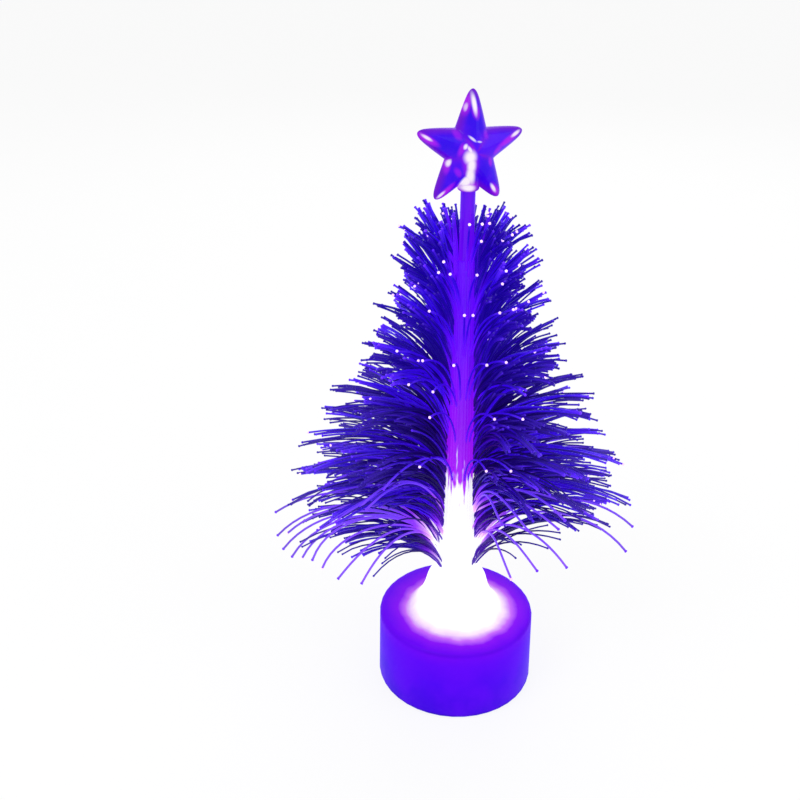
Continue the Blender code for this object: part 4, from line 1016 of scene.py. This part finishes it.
def add_socket(star):
    """Joins a socket with a rounded lip to the star, and bores it for the rod."""
    lip = []
    for angle in np.linspace(0.0, math.pi / 2, SOCKET_LIP_POINTS):
        inset = SOCKET_LIP * (1 - math.sin(angle))
        lip.append((SOCKET_RADIUS - inset, SOCKET_BOTTOM + SOCKET_LIP * (1 - math.cos(angle))))
    tube = turned_helper("socket_tube", lip + [(SOCKET_RADIUS, STAR_CENTRE)])
    bore = turned_helper(
        "socket_bore", [(SOCKET_BORE, SOCKET_BOTTOM - BORE_OVERRUN), (SOCKET_BORE, SOCKET_BORE_TOP)]
    )
    for helper, operation in ((tube, "UNION"), (bore, "DIFFERENCE")):
        modifier = star.modifiers.new(helper.name, "BOOLEAN")
        modifier.operation = operation
        modifier.object = helper
    graph = bpy.context.evaluated_depsgraph_get()
    joined = bpy.data.meshes.new_from_object(star.evaluated_get(graph))
    star.modifiers.clear()
    star.data = joined
    star.data.name = "star_clear"
    star.data.polygons.foreach_set("use_smooth", [True] * len(star.data.polygons))
    star.data.set_sharp_from_angle(angle=STAR_SHARP_ANGLE)
    for helper in (tube, bore):
        bpy.data.objects.remove(helper, do_unlink=True)


def paint_star(star):
    """Writes how near each point is to the star's edge and to the valleys between its arms."""
    points = np.empty(len(star.data.vertices) * 3, np.float32)
    star.data.vertices.foreach_get("co", points)
    x, _, z = points.reshape(-1, 3).T
    angle = np.arctan2(z, x) - math.pi / 2
    even, edge_reach = star_outline(2 * STAR_STEPS)
    edge = np.interp(angle % math.tau, np.append(even, math.tau), np.append(edge_reach, edge_reach[0]))
    share = np.clip(np.hypot(x, z) / edge, 0.0, 1.0)
    half_arm = math.pi / STAR_ARMS
    from_arm = (angle + half_arm) % (2 * half_arm) - half_arm
    valley = (np.abs(from_arm) / half_arm) ** 3 * np.clip(1.2 - share, 0.0, 1.0)
    add_attribute(star.data, "edge", np.interp(share, STAR_RIM_SHARES, (0.0, 1.0)))
    add_attribute(star.data, "valley", valley)


# CAD nodes that stay

def smoothing_group():
    """Welds a CAD mesh's loose triangles and shades it smooth, with its real edges kept sharp."""
    group = bpy.data.node_groups.new("smooth_cad", "GeometryNodeTree")
    group.interface.new_socket("Geometry", in_out="INPUT", socket_type="NodeSocketGeometry")
    group.interface.new_socket("Geometry", in_out="OUTPUT", socket_type="NodeSocketGeometry")
    nodes = group.nodes
    start = nodes.new("NodeGroupInput")
    end = nodes.new("NodeGroupOutput")
    bare = nodes.new("GeometryNodeRemoveAttribute")
    bare.inputs["Name"].default_value = "custom_normal"
    weld = nodes.new("GeometryNodeMergeByDistance")
    weld.inputs["Distance"].default_value = WELD_DISTANCE
    smooth = nodes.new("GeometryNodeSetShadeSmooth")
    sharp = nodes.new("GeometryNodeSetShadeSmooth")
    sharp.domain = "EDGE"
    angle = nodes.new("GeometryNodeInputMeshEdgeAngle")
    flat = nodes.new("FunctionNodeCompare")
    flat.operation = "LESS_THAN"
    flat.inputs[1].default_value = SHARP_ANGLE
    for output, socket in (
        (angle.outputs["Unsigned Angle"], flat.inputs[0]),
        (start.outputs[0], bare.inputs["Geometry"]),
        (bare.outputs[0], weld.inputs["Geometry"]),
        (weld.outputs[0], smooth.inputs["Geometry"]),
        (smooth.outputs[0], sharp.inputs["Geometry"]),
        (flat.outputs[0], sharp.inputs["Shade Smooth"]),
        (sharp.outputs[0], end.inputs[0]),
    ):
        group.links.new(output, socket)
    return group


def dress(group, material, *names):
    for name in names:
        node = NODES[name]
        node.modifiers.new("smooth", "NODES").node_group = group
        node.data.materials.clear()
        node.data.materials.append(material)


def dress_cad():
    """Gives each CAD node that stays its own finish."""
    group = smoothing_group()
    cover = plain_look("cover_white", srgb(226, 226, 232), srgb(238, 238, 242), 0.42, 220.0, 0.00003)
    steel = brushed_look("screw_steel", srgb(176, 178, 182), srgb(206, 208, 212), 0.32)
    can = brushed_look("cell_steel", srgb(196, 197, 200), srgb(222, 223, 226), 0.24)
    brass = brushed_look("contact_brass", srgb(196, 160, 84), srgb(222, 190, 118), 0.30)
    black = plain_look("switch_black", srgb(22, 22, 24), srgb(36, 36, 39), 0.38, 400.0, 0.00002)
    knob = plain_look("knob_white", srgb(214, 214, 218), srgb(232, 232, 236), 0.36, 500.0, 0.00002)
    wire = {"roughness": 0.36, "scale": 700.0, "bump_distance": 0.00001, "Coat_Weight": 0.2}
    red = plain_look("wire_red", srgb(168, 18, 20), srgb(196, 30, 30), **wire)
    blue = plain_look("wire_blue", srgb(24, 52, 148), srgb(38, 74, 178), **wire)
    dress(group, base_look(), "base_shell")
    dress(group, cover, "bottom_cover", "battery_door", "led_holder")
    dress(group, steel, "cover_screw_1", "cover_screw_2", "negative_spring")
    dress(group, steel, "led_anode_lead", "led_cathode_lead")
    dress(group, can, "cell_1", "cell_2", "cell_3")
    dress(group, brass, "positive_contact", "negative_plate")
    dress(group, brass, "switch_pin_1", "switch_pin_2", "switch_pin_3")
    dress(group, black, "switch_body")
    dress(group, knob, "switch_knob")
    dress(group, red, "positive_wire")
    dress(group, blue, "switched_wire")
    dress(group, rod_look(), "light_rod")
    dress(group, lamp_look(), "led_lamp")


camera_and_lights()
make_world()
make_floor()
dress_cad()
chance = random.Random(SEED)
fibre_materials = (fibre_look(), tip_look(), stem_look())
for tier in range(len(TIERS)):
    make_tier(tier, chance, fibre_materials)
make_star(star_look())

scene = bpy.context.scene
scene.view_settings.view_transform = "Standard"
